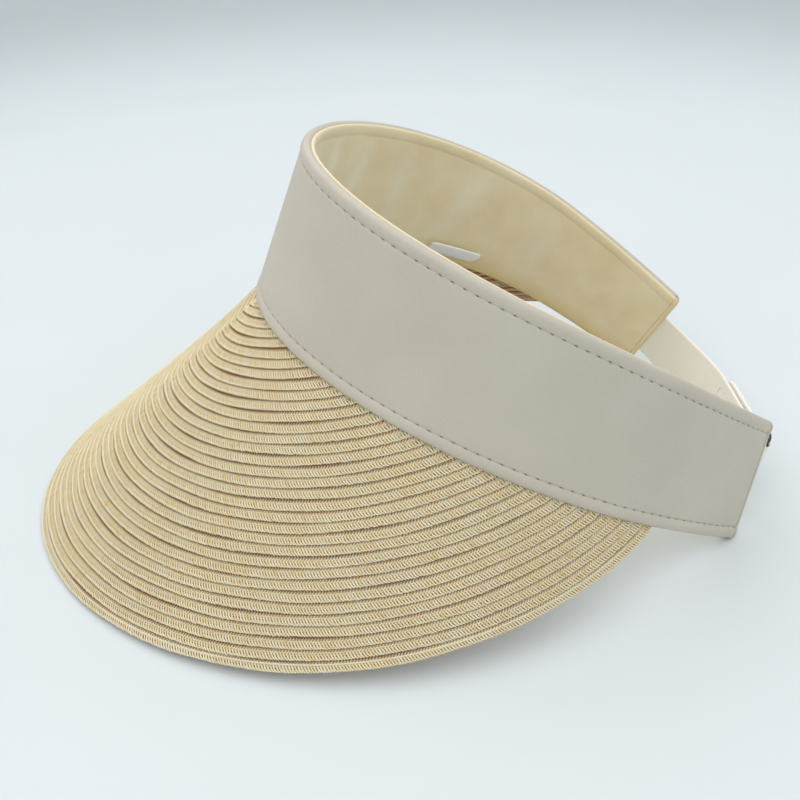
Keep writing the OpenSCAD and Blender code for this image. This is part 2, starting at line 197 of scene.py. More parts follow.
def band_axes(t):
    """Directions along the band, up its face and out of it."""
    t = np.asarray(t, float)
    along = unit(band_point(t + 0.05, 0, 0) - band_point(t - 0.05, 0, 0))
    up = unit(band_point(t, 1, 0) - band_point(t, 0, 0))
    out = unit(band_point(t, 0, 0) - band_point(t, 0, 1))
    return along, up, out


class BandLine:
    """Distances along one level line of the band, measured from the front."""

    def __init__(self, height_share, offset):
        self.t = np.linspace(-BAND_END, BAND_END, 1401)
        run = distances(band_point(self.t, height_share * band_height(self.t) + offset, 0))
        self.run = run - run[len(run) // 2]

    def angle(self, run):
        return np.interp(run, self.run, self.t)

    def seam(self):
        """The distances of its first and last needle hole."""
        return self.run[0] + SEAM_MARGIN, self.run[-1] - SEAM_MARGIN


LOW_LINE = BandLine(0, BOTTOM_SEAM)
HIGH_LINE = BandLine(1, -TOP_SEAM)
HOLES = int(round(np.ptp(LOW_LINE.seam()) / STITCH_PITCH)) + 1
LOW_HOLES, HIGH_HOLES = (line.angle(np.linspace(*line.seam(), HOLES)) for line in (LOW_LINE, HIGH_LINE))


# ---- shape of the brim ----
JOIN = band_point(BRIM_END, 0, 0)
FRONT = band_point(0, 0, 0)
BRIM_FRONT = FRONT[1] - BRIM_REACH
JOIN_ANGLE = 180 - math.degrees(math.asin((JOIN[0] / BRIM_HALF_WIDTH) ** (BRIM_FULLNESS / 2)))
BRIM_HALF_LENGTH = (JOIN[1] - BRIM_FRONT) / (1 - soft_power(cos(JOIN_ANGLE), 2 / BRIM_FULLNESS))
BRIM_SLOPE = math.degrees(math.atan2(FRONT[2] - BRIM_THICKNESS, BRIM_REACH))
EDGE_LIFT = BRIM_THICKNESS * cos(BRIM_SLOPE)


def brim_edge(u):
    """The brim's outer edge at the angle u from the front."""
    return point(
        BRIM_HALF_WIDTH * soft_power(sin(u), 2 / BRIM_FULLNESS),
        BRIM_FRONT + BRIM_HALF_LENGTH * (1 - soft_power(cos(u), 2 / BRIM_FULLNESS)),
        EDGE_LIFT + (JOIN[2] - EDGE_LIFT) * np.abs(u / JOIN_ANGLE) ** 3,
    )


def meet(u):
    """The band angle where the level line in from edge angle u reaches the band."""
    step = brim_edge(u + 0.05) - brim_edge(u - 0.05)
    inward = point(-step[..., 1], step[..., 0], 0 * u)
    low, high = np.full_like(u, -5.0), np.full_like(u, BAND_END + 5)
    for _ in range(40):
        middle = (low + high) / 2
        v = band_point(middle, 0, 0) - brim_edge(u)
        beyond = v[..., 0] * inward[..., 1] - v[..., 1] * inward[..., 0] > 0
        high = np.where(beyond, middle, high)
        low = np.where(beyond, low, middle)
    return (low + high) / 2


class Brim:
    """The brim's upper face: straight lines from its outer edge in to the band, tucked under it."""

    TUCK = 5.0
    TUCK_DEPTH = 0.55
    TURN = (-3.5, 2.0)  # where its face turns from the brim's slope to the band's

    def __init__(self):
        half = np.linspace(0, JOIN_ANGLE - 0.4, 540)
        angle = meet(half)
        edge = brim_edge(half)
        root = band_point(angle, -0.1, 0)
        _, rise, out = band_axes(angle)
        length = np.linalg.norm(root - edge, axis=1)
        inward = unit(root - edge)
        ahead = unit(brim_edge(half + 0.05) - brim_edge(half - 0.05))
        normal = unit(np.cross(ahead, inward))
        flip = np.array([-1.0, 1.0, 1.0])
        self.u = np.concatenate([-half[:0:-1], half])
        self.length = np.concatenate([length[:0:-1], length])
        self.edge, self.inward, self.normal, self.rise, self.out = (
            np.concatenate([a[:0:-1] * flip, a]) for a in (edge, inward, normal, rise, out)
        )

    def at(self, u, reach):
        """Points reach inward from the edge at angle u, and the face's directions there."""
        def table(values):
            return np.stack([np.interp(u, self.u, values[:, i]) for i in range(3)], axis=-1)

        length = np.interp(u, self.u, self.length)
        edge, inward, normal = table(self.edge), unit(table(self.inward)), unit(table(self.normal))
        rise, out = unit(table(self.rise)), unit(table(self.out))
        past = reach - length
        under = smoothstep(*self.TURN, past)
        p = edge + scaled(inward, np.minimum(reach, length)) + scaled(rise, np.maximum(past, 0))
        p = p - scaled(out, self.TUCK_DEPTH * under)
        return p, unit(scaled(normal, 1 - under) + scaled(out, under))

    def row(self, reach):
        """Edge angles and distances along the row of braid whose middle is reach in from the edge."""
        there = self.u[self.length + self.TUCK > reach]
        return there, distances(self.at(there, np.full_like(there, reach))[0])


# ---- shape of the rear closure ----
LEFT_END = band_point(BAND_END, ANCHOR_LEFT, (CORE_FACE + CORE_BACK) / 2)
LEAN_OUT = np.array([0, cos(CLOSURE_LEAN), -sin(CLOSURE_LEAN)])
INNER_BAR = LEFT_END + np.array([-BAR_INSET, 0, 0]) + BAR_STANDOFF * LEAN_OUT
STRAP_DIR = cos(RING_TURN) * np.array([1.0, 0, 0]) - sin(RING_TURN) * LEAN_OUT
STRAP_OUT = sin(RING_TURN) * np.array([1.0, 0, 0]) + cos(RING_TURN) * LEAN_OUT
STRAP_UP = np.array([0, sin(CLOSURE_LEAN), cos(CLOSURE_LEAN)])
OUTER_BAR = INNER_BAR - RING_SPAN * STRAP_DIR


def closure_point(x, y, z):
    """x along the strap towards the ring, y outward, z across, from the ring's outer bar."""
    x, y, z = np.broadcast_arrays(np.asarray(x, float), y, z)
    return OUTER_BAR + scaled(STRAP_DIR, x) + scaled(STRAP_OUT, y) + scaled(STRAP_UP, z)


def curve(a, leave, arrive, b, s):
    """A smooth curve from a to b: leave and arrive are its directions there, longer for a wider bend."""
    s = np.asarray(s, float)[..., None]
    return (
        a * (1 - s) ** 3 + (a + leave) * 3 * s * (1 - s) ** 2
        + (b - arrive) * 3 * s * s * (1 - s) + b * s ** 3
    )


def strap_depth(y):
    """Depth in the band of the strap's layer that lies at y in the closure's frame."""
    return mix(CORE_FACE, CORE_BACK, (-BORE - y) / STRAP_THICKNESS)


def strap_bend(s, z, y):
    """A point of the strap between the band's right end, s = 0, and its straight part, s = 1."""
    start = band_point(-BAND_END, ANCHOR_RIGHT + z, strap_depth(y))
    along = band_axes(-BAND_END)[0]
    return curve(start, -6 * along, 10 * STRAP_DIR, closure_point(-STRAIGHT_LENGTH, y, z), s)


def strap_run(x, z, y):
    """A point of the strap at x in the closure's frame, carried on into the bend and the band."""
    x, z, y = (np.asarray(v, float) for v in np.broadcast_arrays(x, z, y))
    s = 1 - (-STRAIGHT_LENGTH - x) / BEND_RUN
    inside = np.clip(-s * BEND_RUN / INSIDE_RUN, 0, 1)
    hidden = band_point(-BAND_END + ANCHOR_ANGLE * inside, ANCHOR_RIGHT + z, strap_depth(y))
    bent = np.where((s < 0)[..., None], hidden, strap_bend(np.clip(s, 0, 1), z, y))
    return np.where((x > -STRAIGHT_LENGTH)[..., None], closure_point(x, y, z), bent)


# ---- mesh building ----
def make_object(name, points, faces, material, attributes=None):
    """A smooth mesh object from points in millimetres and a list of face arrays."""
    mesh = bpy.data.meshes.new(name)
    points = np.asarray(points, float).reshape(-1, 3)
    mesh.vertices.add(len(points))
    mesh.vertices.foreach_set("co", (points * MM).astype(np.float32).ravel())
    faces = [np.asarray(f, np.int32) for f in faces if len(f)]
    loops = np.concatenate([f.ravel() for f in faces])
    sizes = np.concatenate([np.full(len(f), f.shape[1]) for f in faces])
    mesh.loops.add(len(loops))
    mesh.loops.foreach_set("vertex_index", loops)
    mesh.polygons.add(len(sizes))
    mesh.polygons.foreach_set("loop_start", np.concatenate([[0], np.cumsum(sizes)[:-1]]))
    mesh.polygons.foreach_set("use_smooth", np.full(len(sizes), True))
    mesh.update(calc_edges=True)
    for key, values in (attributes or {}).items():
        attribute = mesh.attributes.new(key, "FLOAT", "POINT")
        attribute.data.foreach_set("value", np.asarray(values, np.float32).ravel())
    mesh.materials.append(material)
    made = bpy.data.objects.new(name, mesh)
    bpy.context.scene.collection.objects.link(made)
    return made


def grid_faces(rows, columns, wrap=False, loop=False):
    """Quads of a grid of points stored row by row.

    wrap joins the last column to the first, and loop the last row to the first.
    """
    i, j = np.meshgrid(np.arange(rows - (not loop)), np.arange(columns - (not wrap)), indexing="ij")
    here, after = i * columns, (i + 1) % rows * columns
    k = (j + 1) % columns
    return np.stack([here + j, here + k, after + k, after + j], axis=-1).reshape(-1, 4)


def many_tubes(paths, normals, outline, twist=0.0):
    """Closed tubes along many paths, (tubes, stations, 3). outline is (sides, 2): sideways and up."""
    tubes, stations, _ = paths.shape
    sides = len(outline)
    tangent = unit(np.gradient(paths, axis=1))
    side = unit(np.cross(tangent, normals))
    up = np.cross(side, tangent)
    turn = twist * np.arange(stations)[:, None]
    a, b = outline.T
    across = a * np.cos(turn) - b * np.sin(turn)
    above = a * np.sin(turn) + b * np.cos(turn)
    points = (
        paths[:, :, None] + side[:, :, None] * across[..., None] + up[:, :, None] * above[..., None]
    )
    one = grid_faces(stations, sides, wrap=True)
    offsets = (np.arange(tubes) * stations * sides)[:, None, None]
    quads = (one[None] + offsets).reshape(-1, 4)
    first = np.arange(sides)[::-1][None] + offsets[:, 0]
    last = ((stations - 1) * sides + np.arange(sides))[None] + offsets[:, 0]
    return points.reshape(-1, 3), [quads, np.concatenate([first, last])]


def sweep(sections):
    """A closed solid through a list of equal rings of points, with a fan at each end."""
    sections = np.asarray(sections, float)
    stations, sides, _ = sections.shape
    points = sections.reshape(-1, 3)
    centres = np.stack([sections[0].mean(0), sections[-1].mean(0)])
    points = np.concatenate([points, centres])
    ring = np.arange(sides)
    after = (ring + 1) % sides
    base = (stations - 1) * sides
    start = np.stack([after, ring, np.full(sides, stations * sides)], axis=-1)
    end = np.stack([base + ring, base + after, np.full(sides, stations * sides + 1)], axis=-1)
    return points, [grid_faces(stations, sides, wrap=True), np.concatenate([start, end])]


def join_parts(parts):
    """Joins (points, faces) pairs into one, keeping quads and triangles apart."""
    points, by_size, base = [], {}, 0
    for part_points, part_faces in parts:
        points.append(part_points)
        for f in part_faces:
            by_size.setdefault(f.shape[1], []).append(f + base)
        base += len(part_points)
    return np.concatenate(points), [np.concatenate(faces) for faces in by_size.values()]


def circle_outline(radius, sides, plies=0, ply_depth=0.0):
    """A circle, (sides, 2), or the lobed section of a thread of a few plies."""
    angle = np.arange(sides) / sides * 2 * np.pi
    r = radius * (1 + ply_depth * np.cos(plies * angle))
    return np.stack([r * np.cos(angle), r * np.sin(angle)], axis=-1)


def solidify(piece, thickness, offset=-1.0):
    """Gives an open sheet its thickness, as part of its own mesh."""
    modifier = piece.modifiers.new("Thickness", "SOLIDIFY")
    modifier.thickness = thickness * MM
    modifier.offset = offset
    bpy.context.view_layer.objects.active = piece
    with bpy.context.temp_override(object=piece, active_object=piece, selected_objects=[piece]):
        bpy.ops.object.modifier_apply(modifier=modifier.name)


def place(piece, body, replaced):
    """Attaches a piece to the body it rides on, and hides the CAD node it stands for.

    A piece that bends between two bodies has (first, second, start, end) as its body, where the bend
    would begin at the point start and stop at the point end. These four are not used: such a piece is
    only baked in place, on no body.
    """
    if isinstance(body, str):
        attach(piece, body)
    else:
        first, second, start, end = body
        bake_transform(piece)
    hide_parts(replaced)


# ---- materials ----
def linear(value):
    """A grey, or a colour given from 0 to 255 as the eye sees it, as linear light."""
    def channel(c):
        c = c / 255
        return c / 12.92 if c <= 0.04045 else ((c + 0.055) / 1.055) ** 2.4

    if isinstance(value, tuple):
        return (*(channel(c) for c in value), 1.0)
    return (value, value, value, 1.0)


class Finish:
    """A node material built up in a few calls. Sizes and depths are in millimetres."""

    def __init__(self, name, **sockets):
        self.material = bpy.data.materials.new(name)
        self.material.use_nodes = True
        tree = self.material.node_tree
        self.nodes, self.links = tree.nodes, tree.links
        self.shader = self.nodes["Principled BSDF"]
        for key, value in sockets.items():
            self.shader.inputs[key.replace("_", " ")].default_value = value
        self.where = self.nodes.new("ShaderNodeTexCoord").outputs["Object"]

    def node(self, kind, **sockets):
        node = self.nodes.new("ShaderNode" + kind)
        for key, value in sockets.items():
            node.inputs[key].default_value = value
        if kind.startswith("Tex"):
            self.links.new(self.where, node.inputs["Vector"])
        return node

    def noise(self, size, detail):
        """Noise with features about size across."""
        return self.node("TexNoise", Scale=1 / (size * MM), Detail=detail).outputs["Fac"]

    def cells(self, size):
        """Distance to the nearest border between cells about size across."""
        node = self.node("TexVoronoi", Scale=1 / (size * MM))
        node.feature = "DISTANCE_TO_EDGE"
        return node.outputs["Distance"]

    def wave(self, size, direction, distortion):
        """Light and dark bands, each about size wide."""
        period = 2 * size * MM
        node = self.node("TexWave", Scale=0.314 / period, Distortion=distortion)
        node.bands_direction = direction
        return node.outputs["Fac"]

    def attribute(self, name):
        node = self.node("Attribute")
        node.attribute_name = name
        return node.outputs["Fac"]

    def ramp(self, factor, *stops):
        """Colours or greys along a factor: stops are (position, value)."""
        node = self.node("ValToRGB")
        line = node.color_ramp
        while len(line.elements) < len(stops):
            line.elements.new(0.5)
        for element, (position, value) in zip(line.elements, stops):
            element.position = position
            element.color = linear(value)
        self.links.new(factor, node.inputs["Fac"])
        return node.outputs["Color"]

    def mottled(self, size, detail, low, high, start=0.3, stop=0.7):
        """Patches that go from one colour or grey to another."""
        return self.ramp(self.noise(size, detail), (start, low), (stop, high))

    def blend(self, factor, a, b, kind="MIX"):
        """Mixes or multiplies two colours, each a node's output or from 0 to 255."""
        node = self.node("Mix")
        node.data_type = "RGBA"
        node.blend_type = kind
        sockets = {socket.identifier: socket for socket in node.inputs}
        for key, value in (("Factor_Float", factor), ("A_Color", a), ("B_Color", b)):
            if isinstance(value, bpy.types.NodeSocket):
                self.links.new(value, sockets[key])
            else:
                sockets[key].default_value = linear(value) if isinstance(value, tuple) else value
        return next(socket for socket in node.outputs if socket.identifier == "Result_Color")

    def colour(self, value):
        self.links.new(value, self.shader.inputs["Base Color"])

    def rough(self, value):
        self.links.new(value, self.shader.inputs["Roughness"])

    def bump(self, height, depth, strength=0.5):
        """Raises the surface by depth where height is 1."""
        node = self.node("Bump", Strength=strength, Distance=depth * MM)
        normal = self.shader.inputs["Normal"]
        if normal.is_linked:
            self.links.new(normal.links[0].from_socket, node.inputs["Normal"])
        self.links.new(height, node.inputs["Height"])
        self.links.new(node.outputs["Normal"], normal)


def leather_finish(name, pale, deep):
    f = Finish(name, IOR=1.48, Coat_Weight=0.06, Coat_Roughness=0.4)
    pores = f.ramp(f.cells(0.75), (0.0, 0.86), (0.18, 1.0))
    skin = f.blend(0.35, f.mottled(28, 2, deep, pale, 0.35, 0.68), pores, "MULTIPLY")
    # painted shade: the leather goes dark brown where the pit attribute is set, in the needle holes and
    # in the groove near each end of the band
    f.colour(f.blend(f.attribute("pit"), skin, (44, 38, 32)))
    f.rough(f.mottled(5, 4, 0.50, 0.62))
    f.bump(f.ramp(f.cells(0.75), (0.0, 0.0), (0.2, 1.0)), 0.018)
    f.bump(f.noise(1.8, 5), 0.03)
    f.bump(f.noise(14, 2), 0.18)
    return f.material


def lining_finish():
    f = Finish("Lining cloth", Roughness=0.85, Sheen_Weight=0.25, Sheen_Roughness=0.5,
               Specular_IOR_Level=0.25)
    clouds = f.mottled(16, 3, (238, 220, 180), (246, 232, 196), 0.35, 0.7)
    # painted light: a warm yellow glow near the lower edge, above the straw brim, and at the ends
    painted_warm_glow = f.blend(f.attribute("painted_warm_glow"), clouds, (222, 196, 130))
    # painted highlight: paler streaks where light catches the ridges of the creases
    painted_crease_highlights = f.blend(f.attribute("crease"), painted_warm_glow, (250, 246, 228))
    threads = f.blend(0.5, f.wave(0.62, "Z", 0.6), f.wave(0.62, "Y", 0.6), "MULTIPLY")
    f.colour(f.blend(0.08, painted_crease_highlights, f.ramp(threads, (0.1, 0.72), (0.7, 1.0)), "MULTIPLY"))
    f.bump(threads, 0.03)
    f.bump(f.noise(3.5, 3), 0.12, 0.4)
    return f.material


def straw_finish():
    f = Finish("Straw braid", Specular_IOR_Level=0.3, Sheen_Weight=0.08)
    tone = f.ramp(
        f.attribute("tone"),
        (0.0, (200, 156, 88)), (0.4, (240, 211, 148)), (0.75, (254, 234, 182)), (1.0, (255, 247, 214)),
    )
    fibres = f.mottled(0.35, 4, 0.88, 1.0)
    clouds = f.mottled(22, 2, 0.93, 1.0)
    fresh = f.blend(0.6, f.blend(0.5, tone, fibres, "MULTIPLY"), clouds, "MULTIPLY")
    # painted light: the strands' undersides, where the below attribute is set, glow warm orange as if
    # lit through the straw
    with_underside_glow = f.blend(f.attribute("below"), fresh, f.blend(0.3, (252, 206, 130), tone))
    # painted shade: dark brown where the deep attribute is set, in the gaps between strands, where they
    # go under and in the crease under each lapping row
    f.colour(f.blend(f.attribute("deep"), with_underside_glow, (132, 70, 12)))
    f.rough(f.mottled(1.5, 3, 0.6, 0.78))
    f.bump(f.noise(0.3, 4), 0.05)
    return f.material


def plain_finish(name, pale, deep, patches, grain, **sockets):
    """One colour with faint patches (size, detail) and a fine grain (size, detail, depth)."""
    f = Finish(name, **sockets)
    f.colour(f.mottled(*patches, deep, pale))
    f.bump(f.noise(*grain[:2]), *grain[2:])
    return f.material


def thread_finish(name, pale, deep):
    return plain_finish(name, pale, deep, (0.5, 3), (0.12, 2, 0.02), Roughness=0.6, Sheen_Weight=0.2)


def nylon_finish(name, pale, deep):
    return plain_finish(name, pale, deep, (1.1, 3), (0.4, 3, 0.05), Roughness=0.5, Sheen_Weight=0.3)


def clear_thread_finish():
    f = Finish("Clear thread", Roughness=0.12, IOR=1.55, Transmission_Weight=0.75)
    f.colour(f.mottled(2.5, 2, (238, 232, 214), (255, 253, 245)))
    return f.material


def metal_finish():
    f = Finish("Ring metal", Metallic=1.0)
    f.colour(f.mottled(6, 3, (70, 70, 68), (104, 103, 99)))
    f.rough(f.mottled(1.2, 4, 0.24, 0.38))
    f.bump(f.noise(0.5, 3), 0.008)
    return f.material


def label_finish():
    f = Finish("Label satin", Roughness=0.42, Sheen_Weight=0.3)
    rib = f.wave(0.35, "Z", 0.3)
    satin = f.mottled(6, 2, (252, 253, 250), (255, 255, 254))
    f.colour(f.blend(0.12, satin, f.ramp(rib, (0.2, 0.8), (0.8, 1.0)), "MULTIPLY"))
    f.bump(rib, 0.03)
    return f.material


LEATHER = leather_finish("Band leather", (206, 197, 181), (200, 191, 175))
STRAP_LEATHER = leather_finish("Strap leather", (252, 247, 236), (247, 242, 229))
LINING = lining_finish()
STRAW = straw_finish()
THREAD = thread_finish("Sewing thread", (196, 189, 172), (168, 161, 144))
STRAP_THREAD = thread_finish("Strap thread", (242, 236, 220), (226, 219, 200))
CLEAR = clear_thread_finish()
METAL = metal_finish()
WIRE = nylon_finish("Wire coat", (232, 222, 196), (222, 210, 180))
HOOKS = nylon_finish("Hook nylon", (206, 202, 190), (180, 175, 160))
PILE = nylon_finish("Loop pile", (214, 209, 196), (186, 180, 165))
LABEL = label_finish()
PLASTIC = plain_finish(
    "Core sheet", (234, 234, 230), (222, 222, 216), (9, 2), (2.2, 3, 0.03, 0.4), Roughness=0.45
)


# ---- the band's leather shell and lining ----
def hole_columns():
    """Column numbers along the band, close together at each needle hole, whole at a hole."""
    near = np.array([-0.17, -0.1, -0.05, 0, 0.05, 0.1, 0.17, 0.36, 0.64])
    return (np.arange(HOLES)[:, None] + near[None]).ravel()


# Distances of the columns close to each end of the band, where its sheets round over
END_DISTANCES = np.array([0, 0.06, 0.16, 0.32, 0.55, 0.85, 1.2, 1.5, 1.75, 1.95, 2.15, 2.4, 2.75])
END_MARGIN = 3.0
CORNER_RADIUS = 2.4
NOSE_RADIUS = 1.5
NOSE_DEPTH = 1.5


def band_columns(fine):
    """Along the low and the high seam line: each column's angle and distance to the nearer end."""
    columns = hole_columns() if fine else np.linspace(0, HOLES - 1, 2 * HOLES)
    sides = []
    for line in (LOW_LINE, HIGH_LINE):
        first, last = line.seam()
        run = first + columns * (last - first) / (HOLES - 1)
        sides.append(run[(run > line.run[0] + END_MARGIN) & (run < line.run[-1] - END_MARGIN)])
    count = min(len(run) for run in sides)
    found = []
    for line, run in zip((LOW_LINE, HIGH_LINE), sides):
        start, stop = line.run[[0, -1]]
        cut = (len(run) - count) // 2
        run = np.concatenate([start + END_DISTANCES, run[cut:cut + count], stop - END_DISTANCES[::-1]])
        found.append((line.angle(run), np.minimum(run - start, stop - run)))
    return found


def band_sheet(rows, fine):
    """A sheet wrapped over the band. rows are (share of the height, offset, depth)."""
    (low_t, low_end), (high_t, high_end) = band_columns(fine)
    share, offset, depth = (np.array(c, float)[:, None] for c in zip(*rows))
    t = mix(low_t[None], high_t[None], share)
    end = mix(low_end[None], high_end[None], share)
    corner = np.clip(CORNER_RADIUS - end, 0, CORNER_RADIUS)
    bite = CORNER_RADIUS - np.sqrt(CORNER_RADIUS ** 2 - corner ** 2)
    h = bite + share * (band_height(t) - 2 * bite) + offset
    nose = np.clip(1 - end / NOSE_RADIUS, 0, 1)
    thin = 0.18 + 0.82 * np.sqrt(np.clip(1 - nose ** 2, 0, 1))
    crest = 0.2 * bell(end - 1.2, 0.5) - 0.26 * bell(end - 2.1, 0.3)
    outside = np.where(depth < NOSE_DEPTH, -1.0, 1.0)
    return t, h, NOSE_DEPTH + (depth - NOSE_DEPTH) * thin + outside * crest, end


def degree_length(t, h):
    """Millimetres along the band for each degree."""
    return np.linalg.norm(band_point(t + 0.5, h, 0) - band_point(t - 0.5, h, 0), axis=-1)


def pits(t, h, holes, line_height):
    """How deep each point lies in a needle hole, from 0 to 1."""
    nearest = np.searchsorted(holes, t).clip(1, len(holes) - 1)
    gap = np.minimum(np.abs(t - holes[nearest - 1]), np.abs(holes[nearest] - t))
    along = gap * degree_length(t, line_height)
    return smoothstep(0.12, 0.75, bell(along, 0.74) * bell(h - line_height, 0.34))


def waviness(t, h, size, seed):
    """Gentle hand-made unevenness, a few fixed waves added together."""
    local = np.random.default_rng(seed)
    total = 0
    for _ in range(5):
        a, b = local.uniform(0.5, 1.5, 2)
        total = total + np.sin(a * t / 9 + b * h / 14 + local.uniform(0, 6.3))
    return size * total / 5


def profile(start, near, middle, far):
    """Rows of (share of the height, offset, depth): near and far are (offset, depth) at the edges."""
    return (
        [(start, *row) for row in near] + [(share, 0, depth) for share, depth in middle]
        + [(1 - start, *row) for row in far]
    )


# The leather's outer surface from its turned-under lower edge to its turned-over top
BAND_PROFILE = profile(
    0,
    [
        (3.2, 1.0), (1.6, 1.0), (0.8, 0.97), (0.35, 0.86), (0.1, 0.68), (0.0, 0.44), (0.08, 0.18),
        (0.3, -0.04), (0.65, -0.2), (1.15, -0.31), (1.8, -0.34), (2.4, -0.27), (2.95, -0.12),
        (3.3, 0.03), (3.55, 0.12), (3.8, 0.16), (4.05, 0.12), (4.3, 0.06), (4.7, 0.0), (5.4, -0.03),
    ],
    [(share, -0.04) for share in np.linspace(0.2, 0.8, 8)],
    [
        (-5.6, -0.03), (-4.9, 0.0), (-4.5, 0.06), (-4.25, 0.12), (-4.0, 0.16), (-3.75, 0.12),
        (-3.5, 0.03), (-3.1, -0.12), (-2.5, -0.28), (-1.8, -0.34), (-1.15, -0.28), (-0.6, -0.08),
        (-0.25, 0.22), (-0.05, 0.62), (0.0, 1.0), (-0.05, 1.4), (-0.22, 1.78), (-0.55, 2.04),
        (-1.2, 2.16), (-2.6, 2.2),
    ],
)
# The lining's inner surface from its turned-in top edge to its turned-in lower edge
LINING_PROFILE = profile(
    1,
    [
        (-2.2, 2.42), (-1.0, 2.4), (-0.4, 2.42), (-0.12, 2.55), (-0.02, 2.75), (-0.1, 2.98),
        (-0.35, 3.15), (-0.8, 3.27), (-1.5, 3.34), (-2.4, 3.32), (-3.1, 3.2), (-3.6, 3.02),
        (-4.0, 2.92), (-4.5, 3.0), (-5.4, 3.04),
    ],
    [(share, 3.0) for share in np.linspace(0.8, 0.2, 22)],
    [
        (3.4, 3.0), (2.2, 3.04), (1.3, 3.02), (0.85, 2.94), (0.62, 2.78), (0.66, 2.58), (0.95, 2.46),
        (2.0, 2.42), (3.4, 2.4),
    ],
)
LEATHER_THICKNESS = 0.42
PIT_DEPTH = 0.5


def make_band():
    """The leather shell, with a pit at every needle hole."""
    t, h, d, end = band_sheet(BAND_PROFILE, fine=True)
    turned_in = np.array([depth for _, _, depth in BAND_PROFILE])[:, None] > 0.5
    pit = pits(t, h, LOW_HOLES, BOTTOM_SEAM) + pits(t, h - band_height(t) + TOP_SEAM, HIGH_HOLES, 0)
    pit = np.where(turned_in, 0, pit)
    d = d + PIT_DEPTH * pit + np.where(turned_in, 0, waviness(t, h, 0.12, 3))
    # painted shade: dark in each needle hole and along the groove near each end of the band, where shade
    # falls in them
    painted_pit_shade = np.maximum(1.6 * pit - 0.12, 0.5 * bell(end - 2.1, 0.3))
    shell = make_object(
        "band_leather_shell", band_point(t, h, d), [grid_faces(*t.shape)[:, ::-1]], LEATHER,
        {"pit": np.clip(painted_pit_shade, 0, 1)},
    )
    solidify(shell, LEATHER_THICKNESS)
    place(shell, "visor", "band_leather")


# Upright creases in the lining: angle, half width, depth, and slant over the band's height
CREASES = [
    (-9, 1.5, 0.45, 3), (-16, 1.3, 0.75, 6), (-24, 1.6, 0.8, 5), (-33, 1.7, 0.55, -4),
    (-47, 2.2, 0.35, 6), (-64, 2.6, 0.3, -5), (-88, 3.0, 0.25, 5), (12, 1.6, 0.6, -5),
    (21, 1.5, 0.5, -6), (38, 2.0, 0.5, 5), (60, 2.4, 0.3, -4),
]
LINING_THICKNESS = 0.3
LINING_FLAT_HEIGHT = 58.0


def make_lining():
    """The lining cloth, slack between its edges so that it creases."""
    t, h, d, end = band_sheet(LINING_PROFILE, fine=False)
    level = np.clip(h / band_height(t), 0, 1)
    window = np.sin(np.pi * np.clip((level - 0.04) / 0.88, 0, 1)) ** 0.7
    free = np.array([depth for _, _, depth in LINING_PROFILE])[:, None] > 2.95
    crease = sum(
        depth * bell(t - at - slant * (level - 0.5), width) for at, width, depth, slant in CREASES
    )
    d = d + np.where(free, (crease + waviness(t, h, 0.25, 11)) * window, 0)
    # painted light: a warm glow along the lower edge, above the straw, and at the ends
    ends = 0.8 * smoothstep(1.6, 0.2, end) + 0.9 * bell(end - 2.1, 0.4)
    painted_warm_glow = 0.85 * smoothstep(7.5, 0.5, h) + 0.6 * ends
    # painted highlight on the ridges of the creases, carried by the crease attribute
    pale = np.where(free, 0.95 * crease * window, 0)
    cloth = make_object(
        "lining_cloth", band_point(t, h, d), [grid_faces(*t.shape)[:, ::-1]], LINING,
        {"painted_warm_glow": np.clip(painted_warm_glow, 0, 1), "crease": np.clip(pale, 0, 1)},
    )
    solidify(cloth, LINING_THICKNESS)
    place(cloth, "visor", "band_lining")
    flat = (np.ptp(LOW_LINE.run) * MM, LINING_FLAT_HEIGHT * MM)


# ---- stitches ----
def stitch_threads(name, starts, ends, normals, body, replaced, material=THREAD, radius=0.17,
                   lift=0.06, sink=0.45):
    """Twisted thread from hole to hole, diving into the hole at each end."""
    s = np.linspace(0, 1, 13)[:, None]
    rise = lift - (lift + sink) * np.abs(2 * s - 1) ** 9
    wander = rng.normal(0, 0.035, (len(starts), 1, 3)) * np.sin(np.pi * s)
    paths = starts[:, None] * (1 - s) + ends[:, None] * s + normals[:, None] * rise + wander
    spread = np.repeat(normals[:, None], len(s), axis=1)
    outline = circle_outline(radius, 8, plies=2, ply_depth=0.2)
    piece = make_object(name, *many_tubes(paths, spread, outline, twist=0.9), material)
    place(piece, body, replaced)


def band_seam(name, t, h, replaced):
    """Stitches through needle holes at the angles t and the heights h."""
    p = band_point(t, h, 0.12)
    out = band_axes((t[1:] + t[:-1]) / 2)[2]
    gap = unit(p[1:] - p[:-1]) * 0.55
    stitch_threads(name, p[:-1] + gap, p[1:] - gap, out, "visor", replaced, radius=0.2, lift=0.1)


def end_seam(name, side, replaced):
    """Stitches down one end of the band: side is 1 at the wearer's left, -1 at the right."""
    t = side * (BAND_END - 1.25)
    heights = np.arange(BOTTOM_SEAM + 1.2, band_height(t) - TOP_SEAM - 1, 3.6)
    p = band_point(np.full_like(heights, t), heights, 0.2)
    out = band_axes(np.full(len(heights) - 1, t))[2]
    stitch_threads(name, p[:-1], p[1:], out, "visor", replaced, lift=0.02)


def anchor_rows(name, side, middle, replaced):
    """Two short rows of stitches that hold the strap or the tab inside one end of the band."""
    starts, ends, normals = [], [], []
    for t in (side * (BAND_END - 4), side * (BAND_END - 6.5)):
        for i in range(4):
            h = middle + (i - 2) * STITCH_PITCH + 0.3
            starts.append(band_point(t, h, 0))
            ends.append(band_point(t, h + STITCH_PITCH - 0.5, 0))
            normals.append(band_axes(t)[2])
    stitch_threads(name, *map(np.array, (starts, ends, normals)), "visor", replaced)


